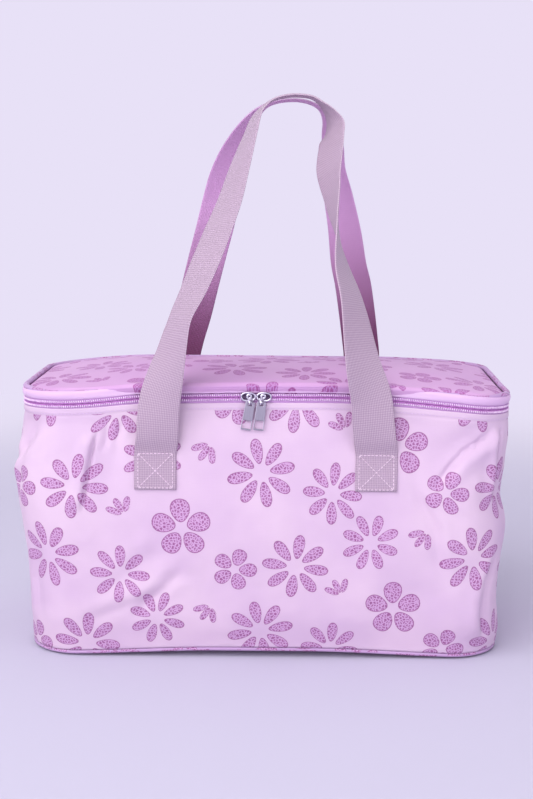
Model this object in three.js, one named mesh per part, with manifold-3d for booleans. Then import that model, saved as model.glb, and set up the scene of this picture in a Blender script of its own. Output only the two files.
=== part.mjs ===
// Insulated cooler bag: a boxy fabric body with foam walls, a zipped lid on a
// fabric hinge, two zip sliders with pullers, and two loops of webbing.
// Units are millimetres. X runs across the front, Y from front to back, Z up.
// The origin is the centre of the underside.

import * as THREE from 'three';
import { mergeVertices } from 'three/addons/utils/BufferGeometryUtils.js';
import Module from 'manifold-3d';

const wasm = await Module();
wasm.setup();

// Gap kept between two pieces that touch
const SEAT_GAP = 0.3;

// Body outline, seen from above
const BODY_WIDTH = 452;
const BODY_DEPTH = 224;
const CORNER_RADIUS = 50;
const TIGHTEST_CORNER = 2;
const CORNER_STEPS = 5;

// Printed wall
const WALL_HEIGHT = 229;
const WALL_THICKNESS = 1.2;
const WALL_BULGE = 6;
const SIDE_TAPER = 8;
const WALL_LEVELS = 9;

// Piping along the bottom and top edges
const BASE_WELT_RADIUS = 1.8;
const BASE_WELT_LIFT = 0.3;
const LID_WELT_RADIUS = 1.7;
const WELT_SIDES = 8;

// Base
const BASE_FABRIC_THICKNESS = 1.4;
const BASE_BOARD_THICKNESS = 2.5;
const BASE_FOAM_THICKNESS = 5;

// Insulation and lining
const WALL_FOAM_THICKNESS = 5;
const LINING_THICKNESS = 0.8;
const BINDING_THICKNESS = 2.2;
const INNER_LEVELS = 5;

// Zip
const TAPE_THICKNESS = 0.8;
const TAPE_SHOWN = 2.8;
const TAPE_INSET = 0.1;
const COIL_HEIGHT = 3;
const COIL_DEPTH = 2.6;
const COIL_STAND_OUT = 1.2;
const COIL_SPLIT = 1.2;

// Straight stretch of the rear edge that holds the hinge
const HINGE_END_MARGIN = 11;
const HINGE_LENGTH = BODY_WIDTH - 2 * (CORNER_RADIUS + HINGE_END_MARGIN);

// Lid
const LID_BAND_HEIGHT = 3;
const LID_FABRIC_THICKNESS = 1.2;
const LID_CROWN = 5;
const LID_CROWN_RUN = 100;
const LID_CROWN_RINGS = 4;
const LID_FOAM_THICKNESS = 5;
const LID_INNER_SETBACK = 8;

// Zip slider and its loop
const SLIDER_LENGTH = 13.5;
const SLIDER_HEIGHT = 11;
const SLIDER_RAISE = 3;
const SLIDER_PLATE = 1.2;
const SLIDER_CLEARANCE = 0.35;
const SLIDER_NECK = 0.6;
const SLIDER_SPACE = 0.7;
const SLIDER_MEETING = -9.4;
const LOOP_BORE = 1.3;
const LOOP_WALL = 1.1;
const LOOP_WIDTH = 3;
const LOOP_INBOARD = 2;
const LOOP_STEPS = 6;

// Puller
const PULLER_WIDTH = 8.6;
const PULLER_LENGTH = 26;
const PULLER_THICKNESS = 1.2;
const PULLER_BAR = 1.3;
const PULLER_EYE_HEIGHT = 3.2;
const PULLER_EYE_SIDE = 1.6;
const PULLER_WINDOW_WIDTH = 6.4;
const PULLER_WINDOW_HEIGHT = 7.2;
const PULLER_FOOT = 1.2;
const LEFT_PULLER_LEAN = 9.5;
const RIGHT_PULLER_LEAN = 6.6;

// Webbing
const WEBBING_WIDTH = 38;
const WEBBING_THICKNESS = 1.6;
const WEBBING_STEPS = 3;
const STRAP_SPACING = 200;
const STITCH_BOX = 32;
const STITCH_MARGIN = 2.8;
const STITCH_LINE = 1.4;
const STITCH_THICKNESS = 0.5;

// Heights on the straps, each set by its distance from the height of the wall
const STRAP_END_DROP = 72;
const STRAP_BEND_DROP = 36;
const REAR_BEND_LIFT = 26;
const STRAP_END_HEIGHT = WALL_HEIGHT - STRAP_END_DROP;
const STRAP_BEND_HEIGHT = WALL_HEIGHT - STRAP_BEND_DROP;
const REAR_BEND_HEIGHT = WALL_HEIGHT + REAR_BEND_LIFT;

// Loops of webbing: their rise, their stand-off from the body and where they meet
const FRONT_LOOP_RISE = 324;
const REAR_LOOP_RISE = 260;
const STRAP_STAND_OFF = 14.5;
const LOOP_MEET_DEPTH = 21;

// Heights that follow from the sizes above
const wallBottom = BASE_WELT_LIFT + 2 * BASE_WELT_RADIUS + SEAT_GAP;
const wallTop = wallBottom + WALL_HEIGHT;
const tapeBottom = wallTop + SEAT_GAP;
const tapeTop = tapeBottom + TAPE_SHOWN;
const lowerCoilBottom = tapeTop + SEAT_GAP;
const zipHeight = lowerCoilBottom + COIL_HEIGHT + COIL_SPLIT / 2;
const upperCoilBottom = zipHeight + COIL_SPLIT / 2;
const upperTapeBottom = upperCoilBottom + COIL_HEIGHT + SEAT_GAP;
const upperTapeTop = upperTapeBottom + TAPE_SHOWN;
const bandBottom = upperTapeTop + SEAT_GAP;
const bandTop = bandBottom + LID_BAND_HEIGHT;
const lidWeltHeight = bandTop + SEAT_GAP + LID_WELT_RADIUS;

// Insets from the outer face of the body that follow from the sizes above
const foamInset = WALL_THICKNESS + SEAT_GAP;
const liningInset = foamInset + WALL_FOAM_THICKNESS + SEAT_GAP;
const cavityInset = liningInset + LINING_THICKNESS;
const tapeInnerInset = TAPE_INSET + TAPE_THICKNESS;
const lidPanelInset = 2 * LID_WELT_RADIUS + SEAT_GAP - COIL_STAND_OUT;

// Heights of the layers on the base
const boardBottom = BASE_FABRIC_THICKNESS + SEAT_GAP;
const boardTop = boardBottom + BASE_BOARD_THICKNESS;
const baseFoamBottom = Math.max(boardTop, wallBottom) + SEAT_GAP;
const baseFoamTop = baseFoamBottom + BASE_FOAM_THICKNESS;
const baseLiningBottom = baseFoamTop + SEAT_GAP;
const bindingBottom = wallTop - BINDING_THICKNESS - SEAT_GAP;
const foamTop = bindingBottom - SEAT_GAP;

// Turns every triangle over if the mesh encloses a negative volume.
function facingOut(geometry) {
  const position = geometry.getAttribute('position');
  const index = geometry.getIndex().array;
  const [a, b, c] = [new THREE.Vector3(), new THREE.Vector3(), new THREE.Vector3()];
  let volume = 0;
  for (let i = 0; i < index.length; i += 3) {
    a.fromBufferAttribute(position, index[i]);
    b.fromBufferAttribute(position, index[i + 1]);
    c.fromBufferAttribute(position, index[i + 2]);
    volume += a.dot(b.cross(c));
  }
  if (volume < 0) {
    for (let i = 0; i < index.length; i += 3) {
      [index[i], index[i + 1]] = [index[i + 1], index[i]];
    }
  }
  return geometry;
}

// Builds a closed surface from points and corner indices.
function solidFrom(points, triangles) {
  const geometry = new THREE.BufferGeometry();
  geometry.setAttribute('position', new THREE.Float32BufferAttribute(points.flat(), 3));
  geometry.setIndex(triangles);
  return facingOut(geometry);
}

// How far the loaded wall stands out at the front and rear, at a height
function bulge(height) {
  const share = THREE.MathUtils.clamp((height - wallBottom) / WALL_HEIGHT, 0, 1);
  return WALL_BULGE * 4 * share * (1 - share);
}

// How far each side of the body leans in at a height
function taper(height) {
  return SIDE_TAPER * (1 - THREE.MathUtils.clamp(height / wallTop, 0, 1));
}

// Outline of the body at a height, seen from above and moved inwards by inset. It
// starts and ends on the rear edge, at the two ends of the hinge.
function outline(inset, height) {
  const halfWidth = BODY_WIDTH / 2 - inset - taper(height);
  const halfDepth = BODY_DEPTH / 2 - inset + bulge(height);
  const radius = Math.max(CORNER_RADIUS - inset, TIGHTEST_CORNER);
  const centreX = halfWidth - radius;
  const centreY = halfDepth - radius;
  const hingeX = Math.min(HINGE_LENGTH / 2, centreX - TIGHTEST_CORNER);
  const corners = [
    [-centreX, centreY, 90],
    [-centreX, -centreY, 180],
    [centreX, -centreY, 270],
    [centreX, centreY, 0],
  ];
  const points = [[-hingeX, halfDepth]];
  for (const [x, y, start] of corners) {
    for (let step = 0; step <= CORNER_STEPS; step++) {
      const angle = THREE.MathUtils.degToRad(start + 90 * step / CORNER_STEPS);
      points.push([x + radius * Math.cos(angle), y + radius * Math.sin(angle)]);
    }
  }
  points.push([hingeX, halfDepth]);
  return points;
}

// Sweeps a closed section round the body. The section is a list of
// [inset, height]. An open sweep leaves the hinge free.
function sweepRound(section, open = false) {
  const rows = section.map(([inset, height]) => outline(inset, height).map(([x, y]) => [x, y, height]));
  const count = rows[0].length;
  const sides = section.length;
  const points = [];
  for (let i = 0; i < count; i++) {
    rows.forEach((row) => points.push(row[i]));
  }
  const triangles = [];
  const spans = open ? count - 1 : count;
  for (let i = 0; i < spans; i++) {
    const near = i * sides;
    const far = ((i + 1) % count) * sides;
    for (let k = 0; k < sides; k++) {
      const next = (k + 1) % sides;
      triangles.push(near + k, near + next, far + k, near + next, far + next, far + k);
    }
  }
  if (open) {
    const flat = section.map(([inset, height]) => new THREE.Vector2(inset, height));
    const last = (count - 1) * sides;
    for (const [a, b, c] of THREE.ShapeUtils.triangulateShape(flat, [])) {
      triangles.push(...endCap(flat, a, b, c), ...endCap(flat, c, b, a).map((k) => last + k));
    }
  }
  return solidFrom(points, triangles);
}

// Orders one triangle of an end cap so that it closes the start of a sweep
// whose section runs clockwise or anticlockwise.
function endCap(flat, a, b, c) {
  return THREE.ShapeUtils.area(flat) > 0 ? [c, b, a] : [a, b, c];
}

// Rectangular section between two insets and two heights
function bar(outerInset, innerInset, low, high) {
  return [[outerInset, low], [outerInset, high], [innerInset, high], [innerInset, low]];
}

// Round section
function round(inset, height, radius) {
  const section = [];
  for (let side = 0; side < WELT_SIDES; side++) {
    const angle = (side + 0.5) * 2 * Math.PI / WELT_SIDES;
    section.push([inset - radius * Math.cos(angle), height + radius * Math.sin(angle)]);
  }
  return section;
}

// Section of a wall layer, with levels for the bulge to follow
function wallLayer(outerInset, thickness, low, high, levels) {
  const heights = [];
  for (let level = 0; level <= levels; level++) {
    heights.push(THREE.MathUtils.lerp(low, high, level / levels));
  }
  const outside = heights.map((height) => [outerInset, height]);
  const inside = heights.map((height) => [outerInset + thickness, height]);
  return [...outside, ...inside.reverse()];
}

// Flat sheet with the body's outline
function sheet(inset, low, thickness) {
  const shape = new THREE.Shape(outline(inset, low).map(([x, y]) => new THREE.Vector2(x, y)));
  const geometry = new THREE.ExtrudeGeometry(shape, { depth: thickness, bevelEnabled: false });
  return geometry.translate(0, 0, low);
}

// Height of the crowned lid above its edge
function crown(inset) {
  const share = Math.min(inset / LID_CROWN_RUN, 1);
  return LID_CROWN * (1 - (1 - share) ** 2);
}

// Crowned sheet that starts at an inset and has its edge at a height
function crownedSheet(edgeInset, low, thickness) {
  const points = [];
  const count = outline(edgeInset, low).length;
  for (const lift of [0, thickness]) {
    for (let ring = 0; ring <= LID_CROWN_RINGS; ring++) {
      const inset = THREE.MathUtils.lerp(edgeInset, LID_CROWN_RUN, ring / LID_CROWN_RINGS);
      outline(inset, low).forEach(([x, y]) => points.push([x, y, low + lift + crown(inset)]));
    }
  }
  const upper = (LID_CROWN_RINGS + 1) * count;
  const triangles = [];
  for (let i = 0; i < count; i++) {
    const next = (i + 1) % count;
    for (let ring = 0; ring < LID_CROWN_RINGS; ring++) {
      const near = ring * count;
      const far = near + count;
      triangles.push(near + i, far + i, near + next, near + next, far + i, far + next);
      triangles.push(upper + near + i, upper + near + next, upper + far + i);
      triangles.push(upper + near + next, upper + far + next, upper + far + i);
    }
    triangles.push(i, next, upper + i, next, upper + next, upper + i);
  }
  const middle = LID_CROWN_RINGS * count;
  for (let i = 1; i < count - 1; i++) {
    triangles.push(middle, middle + i + 1, middle + i);
    triangles.push(upper + middle, upper + middle + i, upper + middle + i + 1);
  }
  return solidFrom(points, triangles);
}

// Flat strip of webbing along stations of [x, y, z, turn]. The turn is the
// angle in degrees from lying across the bag to lying front to back; side is
// 1 on the front of the bag and -1 on the rear.
function webbing(stations, side, steps) {
  const route = new THREE.CatmullRomCurve3(stations.map(([x, y, z]) => new THREE.Vector3(x, y, z)));
  const spans = stations.length - 1;
  const points = [];
  const total = spans * steps;
  for (let i = 0; i <= total; i++) {
    const place = i / steps;
    const from = Math.min(Math.floor(place), spans - 1);
    const turn = THREE.MathUtils.lerp(stations[from][3], stations[from + 1][3], place - from);
    const angle = THREE.MathUtils.degToRad(turn);
    const centre = route.getPoint(i / total);
    const along = route.getTangent(i / total);
    if (i === 0 || i === total) {
      along.set(0, 0, Math.sign(along.z));
    }
    const across = new THREE.Vector3(side * Math.cos(angle), -Math.sin(angle), 0);
    across.addScaledVector(along, -across.dot(along)).normalize();
    const through = new THREE.Vector3().crossVectors(along, across);
    for (const [u, v] of [[-1, -1], [1, -1], [1, 1], [-1, 1]]) {
      const corner = centre.clone();
      corner.addScaledVector(across, u * WEBBING_WIDTH / 2);
      corner.addScaledVector(through, v * WEBBING_THICKNESS / 2);
      points.push(corner.toArray());
    }
  }
  const triangles = [0, 1, 2, 0, 2, 3];
  // Both broad faces are split along the same diagonal, so that they stay one
  // thickness apart where the strip twists.
  for (let i = 0; i < total; i++) {
    for (let k = 0; k < 4; k++) {
      const near = i * 4 + k;
      const next = i * 4 + (k + 1) % 4;
      if (k === 2) {
        triangles.push(near, near + 4, next + 4, near, next + 4, next);
      } else {
        triangles.push(near, near + 4, next, next, near + 4, next + 4);
      }
    }
  }
  const last = total * 4;
  triangles.push(last, last + 2, last + 1, last, last + 3, last + 2);
  return solidFrom(points, triangles);
}

// Turns a closed geometry into a solid that can be joined or cut.
function toSolid(geometry) {
  const bare = geometry.clone();
  bare.deleteAttribute('normal');
  bare.deleteAttribute('uv');
  const merged = mergeVertices(bare, 1e-4);
  const vertProperties = new Float32Array(merged.getAttribute('position').array);
  const triVerts = new Uint32Array(merged.getIndex().array);
  return new wasm.Manifold(new wasm.Mesh({ numProp: 3, vertProperties, triVerts }));
}

// Turns a solid back into a geometry.
function toGeometry(solid) {
  const mesh = solid.getMesh();
  const geometry = new THREE.BufferGeometry();
  geometry.setAttribute('position', new THREE.Float32BufferAttribute(mesh.vertProperties, 3));
  geometry.setIndex(new THREE.Uint32BufferAttribute(mesh.triVerts, 1));
  return geometry;
}

// Finishes: colour, roughness and metalness of each kind of surface
const finishes = {
  printedFabric: { color: '#e2c0ec', roughness: 0.55, metalness: 0 },
  lidBand: { color: '#ead0f2', roughness: 0.55, metalness: 0 },
  strapWebbing: { color: '#c4a4cc', roughness: 0.8, metalness: 0 },
  zipTape: { color: '#c9a3d3', roughness: 0.75, metalness: 0 },
  zipCoil: { color: '#a67bad', roughness: 0.4, metalness: 0 },
  metal: { color: '#9a90ae', roughness: 0.3, metalness: 1 },
  foam: { color: '#f1eff2', roughness: 0.9, metalness: 0 },
  board: { color: '#d9d4cf', roughness: 0.8, metalness: 0 },
  lining: { color: '#d5d6dc', roughness: 0.35, metalness: 0.2 },
  thread: { color: '#f3e3ee', roughness: 0.7, metalness: 0 },
};

const coolerBag = new THREE.Group();

// Adds a named piece to the bag, or to a group inside it.
function addPiece(name, geometry, finish, parent = coolerBag) {
  const mesh = new THREE.Mesh(geometry, new THREE.MeshStandardMaterial(finishes[finish]));
  mesh.name = name;
  parent.add(mesh);
  return mesh;
}

// Outer shell and base
const baseWeltHeight = BASE_WELT_LIFT + BASE_WELT_RADIUS;
const basePanelInset = 2 * BASE_WELT_RADIUS + SEAT_GAP;
const wallSection = wallLayer(0, WALL_THICKNESS, wallBottom, wallTop, WALL_LEVELS);
addPiece('outer_wall', sweepRound(wallSection), 'printedFabric');
addPiece('base_welt', sweepRound(round(BASE_WELT_RADIUS, baseWeltHeight, BASE_WELT_RADIUS)), 'printedFabric');
addPiece('base_panel', sheet(basePanelInset, 0, BASE_FABRIC_THICKNESS), 'printedFabric');
addPiece('base_board', sheet(basePanelInset, boardBottom, BASE_BOARD_THICKNESS), 'board');

// Insulation and lining of the body
const foamSection = wallLayer(foamInset, WALL_FOAM_THICKNESS, baseFoamBottom, foamTop, INNER_LEVELS);
const liningSection = wallLayer(liningInset, LINING_THICKNESS, baseLiningBottom, foamTop, INNER_LEVELS);
addPiece('wall_foam', sweepRound(foamSection), 'foam');
addPiece('base_foam', sheet(liningInset, baseFoamBottom, BASE_FOAM_THICKNESS), 'foam');
addPiece('wall_lining', sweepRound(liningSection), 'lining');
addPiece('base_lining', sheet(cavityInset + SEAT_GAP, baseLiningBottom, LINING_THICKNESS), 'lining');
const bindingSection = bar(foamInset, cavityInset, bindingBottom, bindingBottom + BINDING_THICKNESS);
addPiece('mouth_binding', sweepRound(bindingSection), 'zipTape');

// Lower half of the zip, and the lower half of the fabric hinge
const coilOuterInset = -COIL_STAND_OUT;
const coilInnerInset = coilOuterInset + COIL_DEPTH;
const lowerTape = bar(TAPE_INSET, tapeInnerInset, tapeBottom, tapeTop);
const lowerCoil = bar(coilOuterInset, coilInnerInset, lowerCoilBottom, lowerCoilBottom + COIL_HEIGHT);
addPiece('lower_zip_tape', sweepRound(lowerTape, true), 'zipTape');
addPiece('lower_zip_coil', sweepRound(lowerCoil, true), 'zipCoil');

// A straight strip of hinge fabric between two heights. Its outer face is flush
// with the zip coils, so that the coils part freely when the lid turns on it.
function hingeStrip(low, high) {
  const strip = new THREE.BoxGeometry(HINGE_LENGTH - 2 * SEAT_GAP, TAPE_THICKNESS, high - low);
  return strip.translate(0, BODY_DEPTH / 2 + COIL_STAND_OUT - TAPE_THICKNESS / 2, (low + high) / 2);
}

addPiece('hinge_strip_lower', hingeStrip(tapeBottom, zipHeight - SEAT_GAP / 2), 'lidBand');

// Lid
const lidPanelHeight = lidWeltHeight - LID_FABRIC_THICKNESS / 2;
const lidWeltInset = LID_WELT_RADIUS - COIL_STAND_OUT;
const lidFoamBottom = lidPanelHeight + crown(lidPanelInset) - SEAT_GAP - LID_FOAM_THICKNESS;
const lidFoamLow = lidFoamBottom - crown(LID_INNER_SETBACK);
const lidLiningLow = lidFoamLow - SEAT_GAP - LINING_THICKNESS;
const lidBindingInset = LID_INNER_SETBACK - SEAT_GAP - LINING_THICKNESS;
const lidBindingLow = lidLiningLow + crown(LID_INNER_SETBACK);
const lidBindingHigh = lidPanelHeight + crown(lidBindingInset) - SEAT_GAP;
addPiece('lid_top_panel', crownedSheet(lidPanelInset, lidPanelHeight, LID_FABRIC_THICKNESS), 'printedFabric');
addPiece('lid_welt', sweepRound(round(lidWeltInset, lidWeltHeight, LID_WELT_RADIUS)), 'printedFabric');
addPiece('lid_band', sweepRound(bar(0, WALL_THICKNESS, bandBottom, bandTop)), 'lidBand');
addPiece('lid_foam', crownedSheet(LID_INNER_SETBACK, lidFoamLow, LID_FOAM_THICKNESS), 'foam');
addPiece('lid_lining', crownedSheet(LID_INNER_SETBACK, lidLiningLow, LINING_THICKNESS), 'lining');
const lidBindingInner = lidBindingInset + LINING_THICKNESS;
const lidBindingSection = bar(lidBindingInset, lidBindingInner, lidBindingLow, lidBindingHigh);
addPiece('lid_binding', sweepRound(lidBindingSection), 'zipTape');
const upperTape = bar(TAPE_INSET, tapeInnerInset, upperTapeBottom, upperTapeTop);
const upperCoil = bar(coilOuterInset, coilInnerInset, upperCoilBottom, upperCoilBottom + COIL_HEIGHT);
addPiece('upper_zip_tape', sweepRound(upperTape, true), 'zipTape');
addPiece('upper_zip_coil', sweepRound(upperCoil, true), 'zipCoil');
addPiece('hinge_strip_upper', hingeStrip(zipHeight + SEAT_GAP / 2, upperTapeTop), 'lidBand');

// Depth positions of the slider's plates, measured forwards from the zip tape
const frontFace = BODY_DEPTH / 2;
const frontPlateBack = frontFace + COIL_STAND_OUT + SLIDER_CLEARANCE;
const frontPlateFront = frontPlateBack + SLIDER_PLATE;
const backPlateFront = frontFace - coilInnerInset - SLIDER_CLEARANCE;
const backPlateBack = backPlateFront - SLIDER_PLATE;
const loopCentre = frontPlateFront + LOOP_BORE + SLIDER_NECK / 2;

// Slider: two plates joined by a neck between the coils, with a loop in front of
// their lower part, a given distance along the zip from their middle
function sliderBody(loopShift) {
  const low = SLIDER_RAISE - SLIDER_HEIGHT / 2;
  const high = SLIDER_RAISE + SLIDER_HEIGHT / 2;
  const neck = SLIDER_NECK / 2;
  const section = new THREE.Shape([
    new THREE.Vector2(-frontPlateFront, low),
    new THREE.Vector2(-frontPlateBack, low),
    new THREE.Vector2(-frontPlateBack, -neck),
    new THREE.Vector2(-backPlateFront, -neck),
    new THREE.Vector2(-backPlateFront, low),
    new THREE.Vector2(-backPlateBack, low),
    new THREE.Vector2(-backPlateBack, high),
    new THREE.Vector2(-backPlateFront, high),
    new THREE.Vector2(-backPlateFront, neck),
    new THREE.Vector2(-frontPlateBack, neck),
    new THREE.Vector2(-frontPlateBack, high),
    new THREE.Vector2(-frontPlateFront, high),
  ]);
  const plates = new THREE.ExtrudeGeometry(section, { depth: SLIDER_LENGTH, bevelEnabled: false });
  plates.translate(0, 0, -SLIDER_LENGTH / 2);
  const ring = new THREE.Shape();
  ring.absarc(-loopCentre, 0, LOOP_BORE + LOOP_WALL, 0, 2 * Math.PI);
  const bore = new THREE.Path();
  bore.absarc(-loopCentre, 0, LOOP_BORE, 0, 2 * Math.PI);
  ring.holes.push(bore);
  const loopOptions = { depth: LOOP_WIDTH, bevelEnabled: false, curveSegments: 2 * LOOP_STEPS };
  const loop = new THREE.ExtrudeGeometry(ring, loopOptions);
  loop.translate(0, 0, loopShift - LOOP_WIDTH / 2);
  const joined = toGeometry(toSolid(plates).add(toSolid(loop)));
  // The section is drawn in depth and height, and its length turned to lie along X.
  return joined.applyMatrix4(new THREE.Matrix4().makeBasis(
    new THREE.Vector3(0, 1, 0),
    new THREE.Vector3(0, 0, 1),
    new THREE.Vector3(1, 0, 0),
  ));
}

// Rectangle of a given width between two heights
function pane(width, low, high, Kind) {
  return new Kind([
    new THREE.Vector2(-width / 2, low),
    new THREE.Vector2(width / 2, low),
    new THREE.Vector2(width / 2, high),
    new THREE.Vector2(-width / 2, high),
  ]);
}

// Flat puller with an eye at the top for the loop and a window at its foot
function pullerPlate() {
  const top = PULLER_BAR / 2;
  const bottom = top - PULLER_LENGTH;
  const shape = pane(PULLER_WIDTH, bottom, top, THREE.Shape);
  const eyeTop = -PULLER_BAR / 2;
  shape.holes.push(pane(PULLER_WIDTH - 2 * PULLER_EYE_SIDE, eyeTop - PULLER_EYE_HEIGHT, eyeTop, THREE.Path));
  const windowLow = bottom + PULLER_FOOT;
  shape.holes.push(pane(PULLER_WINDOW_WIDTH, windowLow, windowLow + PULLER_WINDOW_HEIGHT, THREE.Path));
  const plate = new THREE.ExtrudeGeometry(shape, { depth: PULLER_THICKNESS, bevelEnabled: false });
  plate.translate(0, 0, -PULLER_THICKNESS / 2);
  return plate.rotateX(Math.PI / 2);
}

// The closed sliders meet a little to the left of the middle.
const sliderOffset = (SLIDER_LENGTH + SLIDER_SPACE) / 2;
for (const [name, side, lean] of [['left', -1, LEFT_PULLER_LEAN], ['right', 1, RIGHT_PULLER_LEAN]]) {
  const slider = new THREE.Group();
  const loopShift = -side * LOOP_INBOARD;
  slider.position.set(SLIDER_MEETING + side * sliderOffset, 0, zipHeight);
  addPiece(`${name}_slider`, sliderBody(loopShift), 'metal', slider);
  const puller = addPiece(`${name}_puller`, pullerPlate(), 'metal', slider);
  puller.position.set(loopShift, -loopCentre, 0);
  puller.rotation.y = THREE.MathUtils.degToRad(lean);
  coolerBag.add(slider);
}

// Distance of a strap's middle plane from the bag's centre, on the bulged wall
function strapDepth(height) {
  return frontFace + bulge(height) + SEAT_GAP + WEBBING_THICKNESS / 2;
}

// Stitched end of a strap and its box of thread. across is the side of the bag
// on X, side is 1 on the front and -1 on the rear.
function stitchedEnd(name, across, side) {
  const x = across * STRAP_SPACING / 2;
  const top = STRAP_BEND_HEIGHT - SEAT_GAP / 2;
  const middle = (STRAP_END_HEIGHT + top) / 2;
  const stations = [STRAP_END_HEIGHT, middle, top].map((z) => [x, -side * strapDepth(z), z, 0]);
  addPiece(`${name}_strap_end`, webbing(stations, side, WEBBING_STEPS), 'strapWebbing');

  const half = STITCH_BOX / 2;
  const inner = half - STITCH_LINE;
  const gap = STITCH_LINE * Math.SQRT1_2;
  const shape = pane(STITCH_BOX, -half, half, THREE.Shape);
  for (let quarter = 0; quarter < 4; quarter++) {
    const turn = quarter * Math.PI / 2;
    const corners = [[0, gap], [inner - gap, inner], [-inner + gap, inner]];
    const triangle = corners.map(([u, v]) => new THREE.Vector2(u, v).rotateAround(new THREE.Vector2(), turn));
    shape.holes.push(new THREE.Path(triangle));
  }
  const box = new THREE.ExtrudeGeometry(shape, { depth: STITCH_THICKNESS, bevelEnabled: false });
  const centre = top - STITCH_MARGIN - half;
  const lean = Math.atan2(strapDepth(centre - half) - strapDepth(centre + half), STITCH_BOX);
  const group = new THREE.Group();
  group.position.set(x, -side * (strapDepth(centre) + WEBBING_THICKNESS / 2 + SEAT_GAP), centre);
  group.rotation.set(Math.PI / 2 - side * lean, 0, 0);
  if (side < 0) {
    box.translate(0, 0, -STITCH_THICKNESS);
  }
  addPiece(`${name}_box_stitch`, box, 'thread', group);
  coolerBag.add(group);
}

for (const [name, across] of [['left', -1], ['right', 1]]) {
  stitchedEnd(`front_${name}`, across, 1);
  stitchedEnd(`rear_${name}`, across, -1);
}

// The routes below are lists of [spread, lean, climb, turn]. Spread is the place
// across the bag, with 1 at the stitched end of a strap. Lean goes from 0 at the
// stand-off from the body to 1 where the two loops meet. Climb goes from 0 at the
// bend to 1 at the top, and turn is the turn that webbing() takes.
const strapX = STRAP_SPACING / 2;

// Turns a route into stations on one side of the bag.
function stationsOf(route, side, start, rise) {
  return route.map(([spread, lean, climb, turn]) => {
    const depth = THREE.MathUtils.lerp(frontFace + STRAP_STAND_OFF, LOOP_MEET_DEPTH, lean);
    return [spread * strapX, -side * depth, start + climb * rise, turn];
  });
}

// Place just above the stitched end of a strap
function strapStart(across, side, turn) {
  const height = STRAP_BEND_HEIGHT + SEAT_GAP / 2;
  return [across * strapX, -side * strapDepth(height), height, turn];
}

// Front loop: stands off the zip, then leans in over the lid as it does when held up.
const frontRoute = [
  [-0.98, 0.047, 0.0432, 0],
  [-0.97, 0.019, 0.0957, 4],
  [-0.95, 0.007, 0.1574, 12],
  [-0.86, 0, 0.2747, 42],
  [-0.78, 0.047, 0.3765, 58],
  [-0.67, 0.147, 0.4506, 50],
  [-0.56, 0.261, 0.534, 46],
  [-0.46, 0.384, 0.6142, 48],
  [-0.36, 0.526, 0.6975, 54],
  [-0.27, 0.678, 0.7963, 62],
  [-0.19, 0.82, 0.8796, 72],
  [-0.11, 0.943, 0.9475, 80],
  [0, 0.991, 0.9815, 86],
  [0.14, 1, 0.9969, 90],
  [0.28, 1, 1, 90],
  [0.42, 1, 0.9923, 90],
  [0.53, 0.981, 0.9599, 84],
  [0.59, 0.915, 0.9136, 70],
  [0.58, 0.81, 0.8673, 60],
  [0.56, 0.706, 0.7994, 57],
  [0.59, 0.564, 0.716, 72],
  [0.63, 0.393, 0.6204, 90],
  [0.68, 0.251, 0.5216, 110],
  [0.76, 0.118, 0.429, 122],
  [0.86, 0, 0.2562, 148],
  [0.94, 0.007, 0.1574, 168],
  [0.96, 0.019, 0.0957, 176],
  [0.98, 0.047, 0.0432, 180],
];
const frontLoop = [
  strapStart(-1, 1, 0),
  ...stationsOf(frontRoute, 1, STRAP_BEND_HEIGHT, FRONT_LOOP_RISE),
  strapStart(1, 1, 180),
];
addPiece('front_handle_webbing', webbing(frontLoop, 1, WEBBING_STEPS), 'strapWebbing');

// Rear risers: the lower stretch of the rear strap, which the open lid pushes back.
const riserRise = REAR_BEND_HEIGHT - SEAT_GAP / 2 - STRAP_BEND_HEIGHT;
const rearLeftTop = [-0.9, 0];
const rearRightTop = [1.01, 0];
const rearLeftRoute = [[-0.98, 0.047, 0.226, 0], [-0.95, 0.019, 0.534, 0], [...rearLeftTop, 1, 0]];
const rearRightRoute = [[1, 0.047, 0.226, 0], [1, 0.019, 0.534, 0], [...rearRightTop, 1, 0]];
for (const [name, across, route] of [['left', -1, rearLeftRoute], ['right', 1, rearRightRoute]]) {
  const riser = [strapStart(across, -1, 0), ...stationsOf(route, -1, STRAP_BEND_HEIGHT, riserRise)];
  addPiece(`rear_${name}_riser`, webbing(riser, -1, WEBBING_STEPS), 'strapWebbing');
}

// Rear loop, from the top of one riser to the top of the other
const rearRoute = [
  [...rearLeftTop, 0, 0],
  [-0.86, 0.019, 0.0654, 0],
  [-0.78, 0.1, 0.1692, 0],
  [-0.7, 0.213, 0.2923, 0],
  [-0.61, 0.327, 0.4269, 0],
  [-0.55, 0.422, 0.5115, 2],
  [-0.48, 0.536, 0.6192, 6],
  [-0.41, 0.668, 0.7231, 18],
  [-0.32, 0.801, 0.8269, 42],
  [-0.19, 0.934, 0.9269, 70],
  [-0.08, 0.986, 0.9692, 82],
  [0.06, 1, 0.9923, 90],
  [0.28, 1, 1, 90],
  [0.44, 1, 0.9846, 90],
  [0.54, 0.986, 0.9577, 96],
  [0.61, 0.934, 0.9115, 108],
  [0.63, 0.839, 0.85, 118],
  [0.64, 0.725, 0.7577, 126],
  [0.7, 0.583, 0.6577, 137],
  [0.78, 0.441, 0.5192, 148],
  [0.84, 0.299, 0.3769, 162],
  [0.89, 0.223, 0.3, 170],
  [0.95, 0.1, 0.1692, 178],
  [0.99, 0.019, 0.0654, 180],
  [...rearRightTop, 0, 180],
];
const rearLoop = stationsOf(rearRoute, -1, REAR_BEND_HEIGHT + SEAT_GAP / 2, REAR_LOOP_RISE);
addPiece('rear_handle_webbing', webbing(rearLoop, -1, WEBBING_STEPS), 'strapWebbing');

export default coolerBag;
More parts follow.
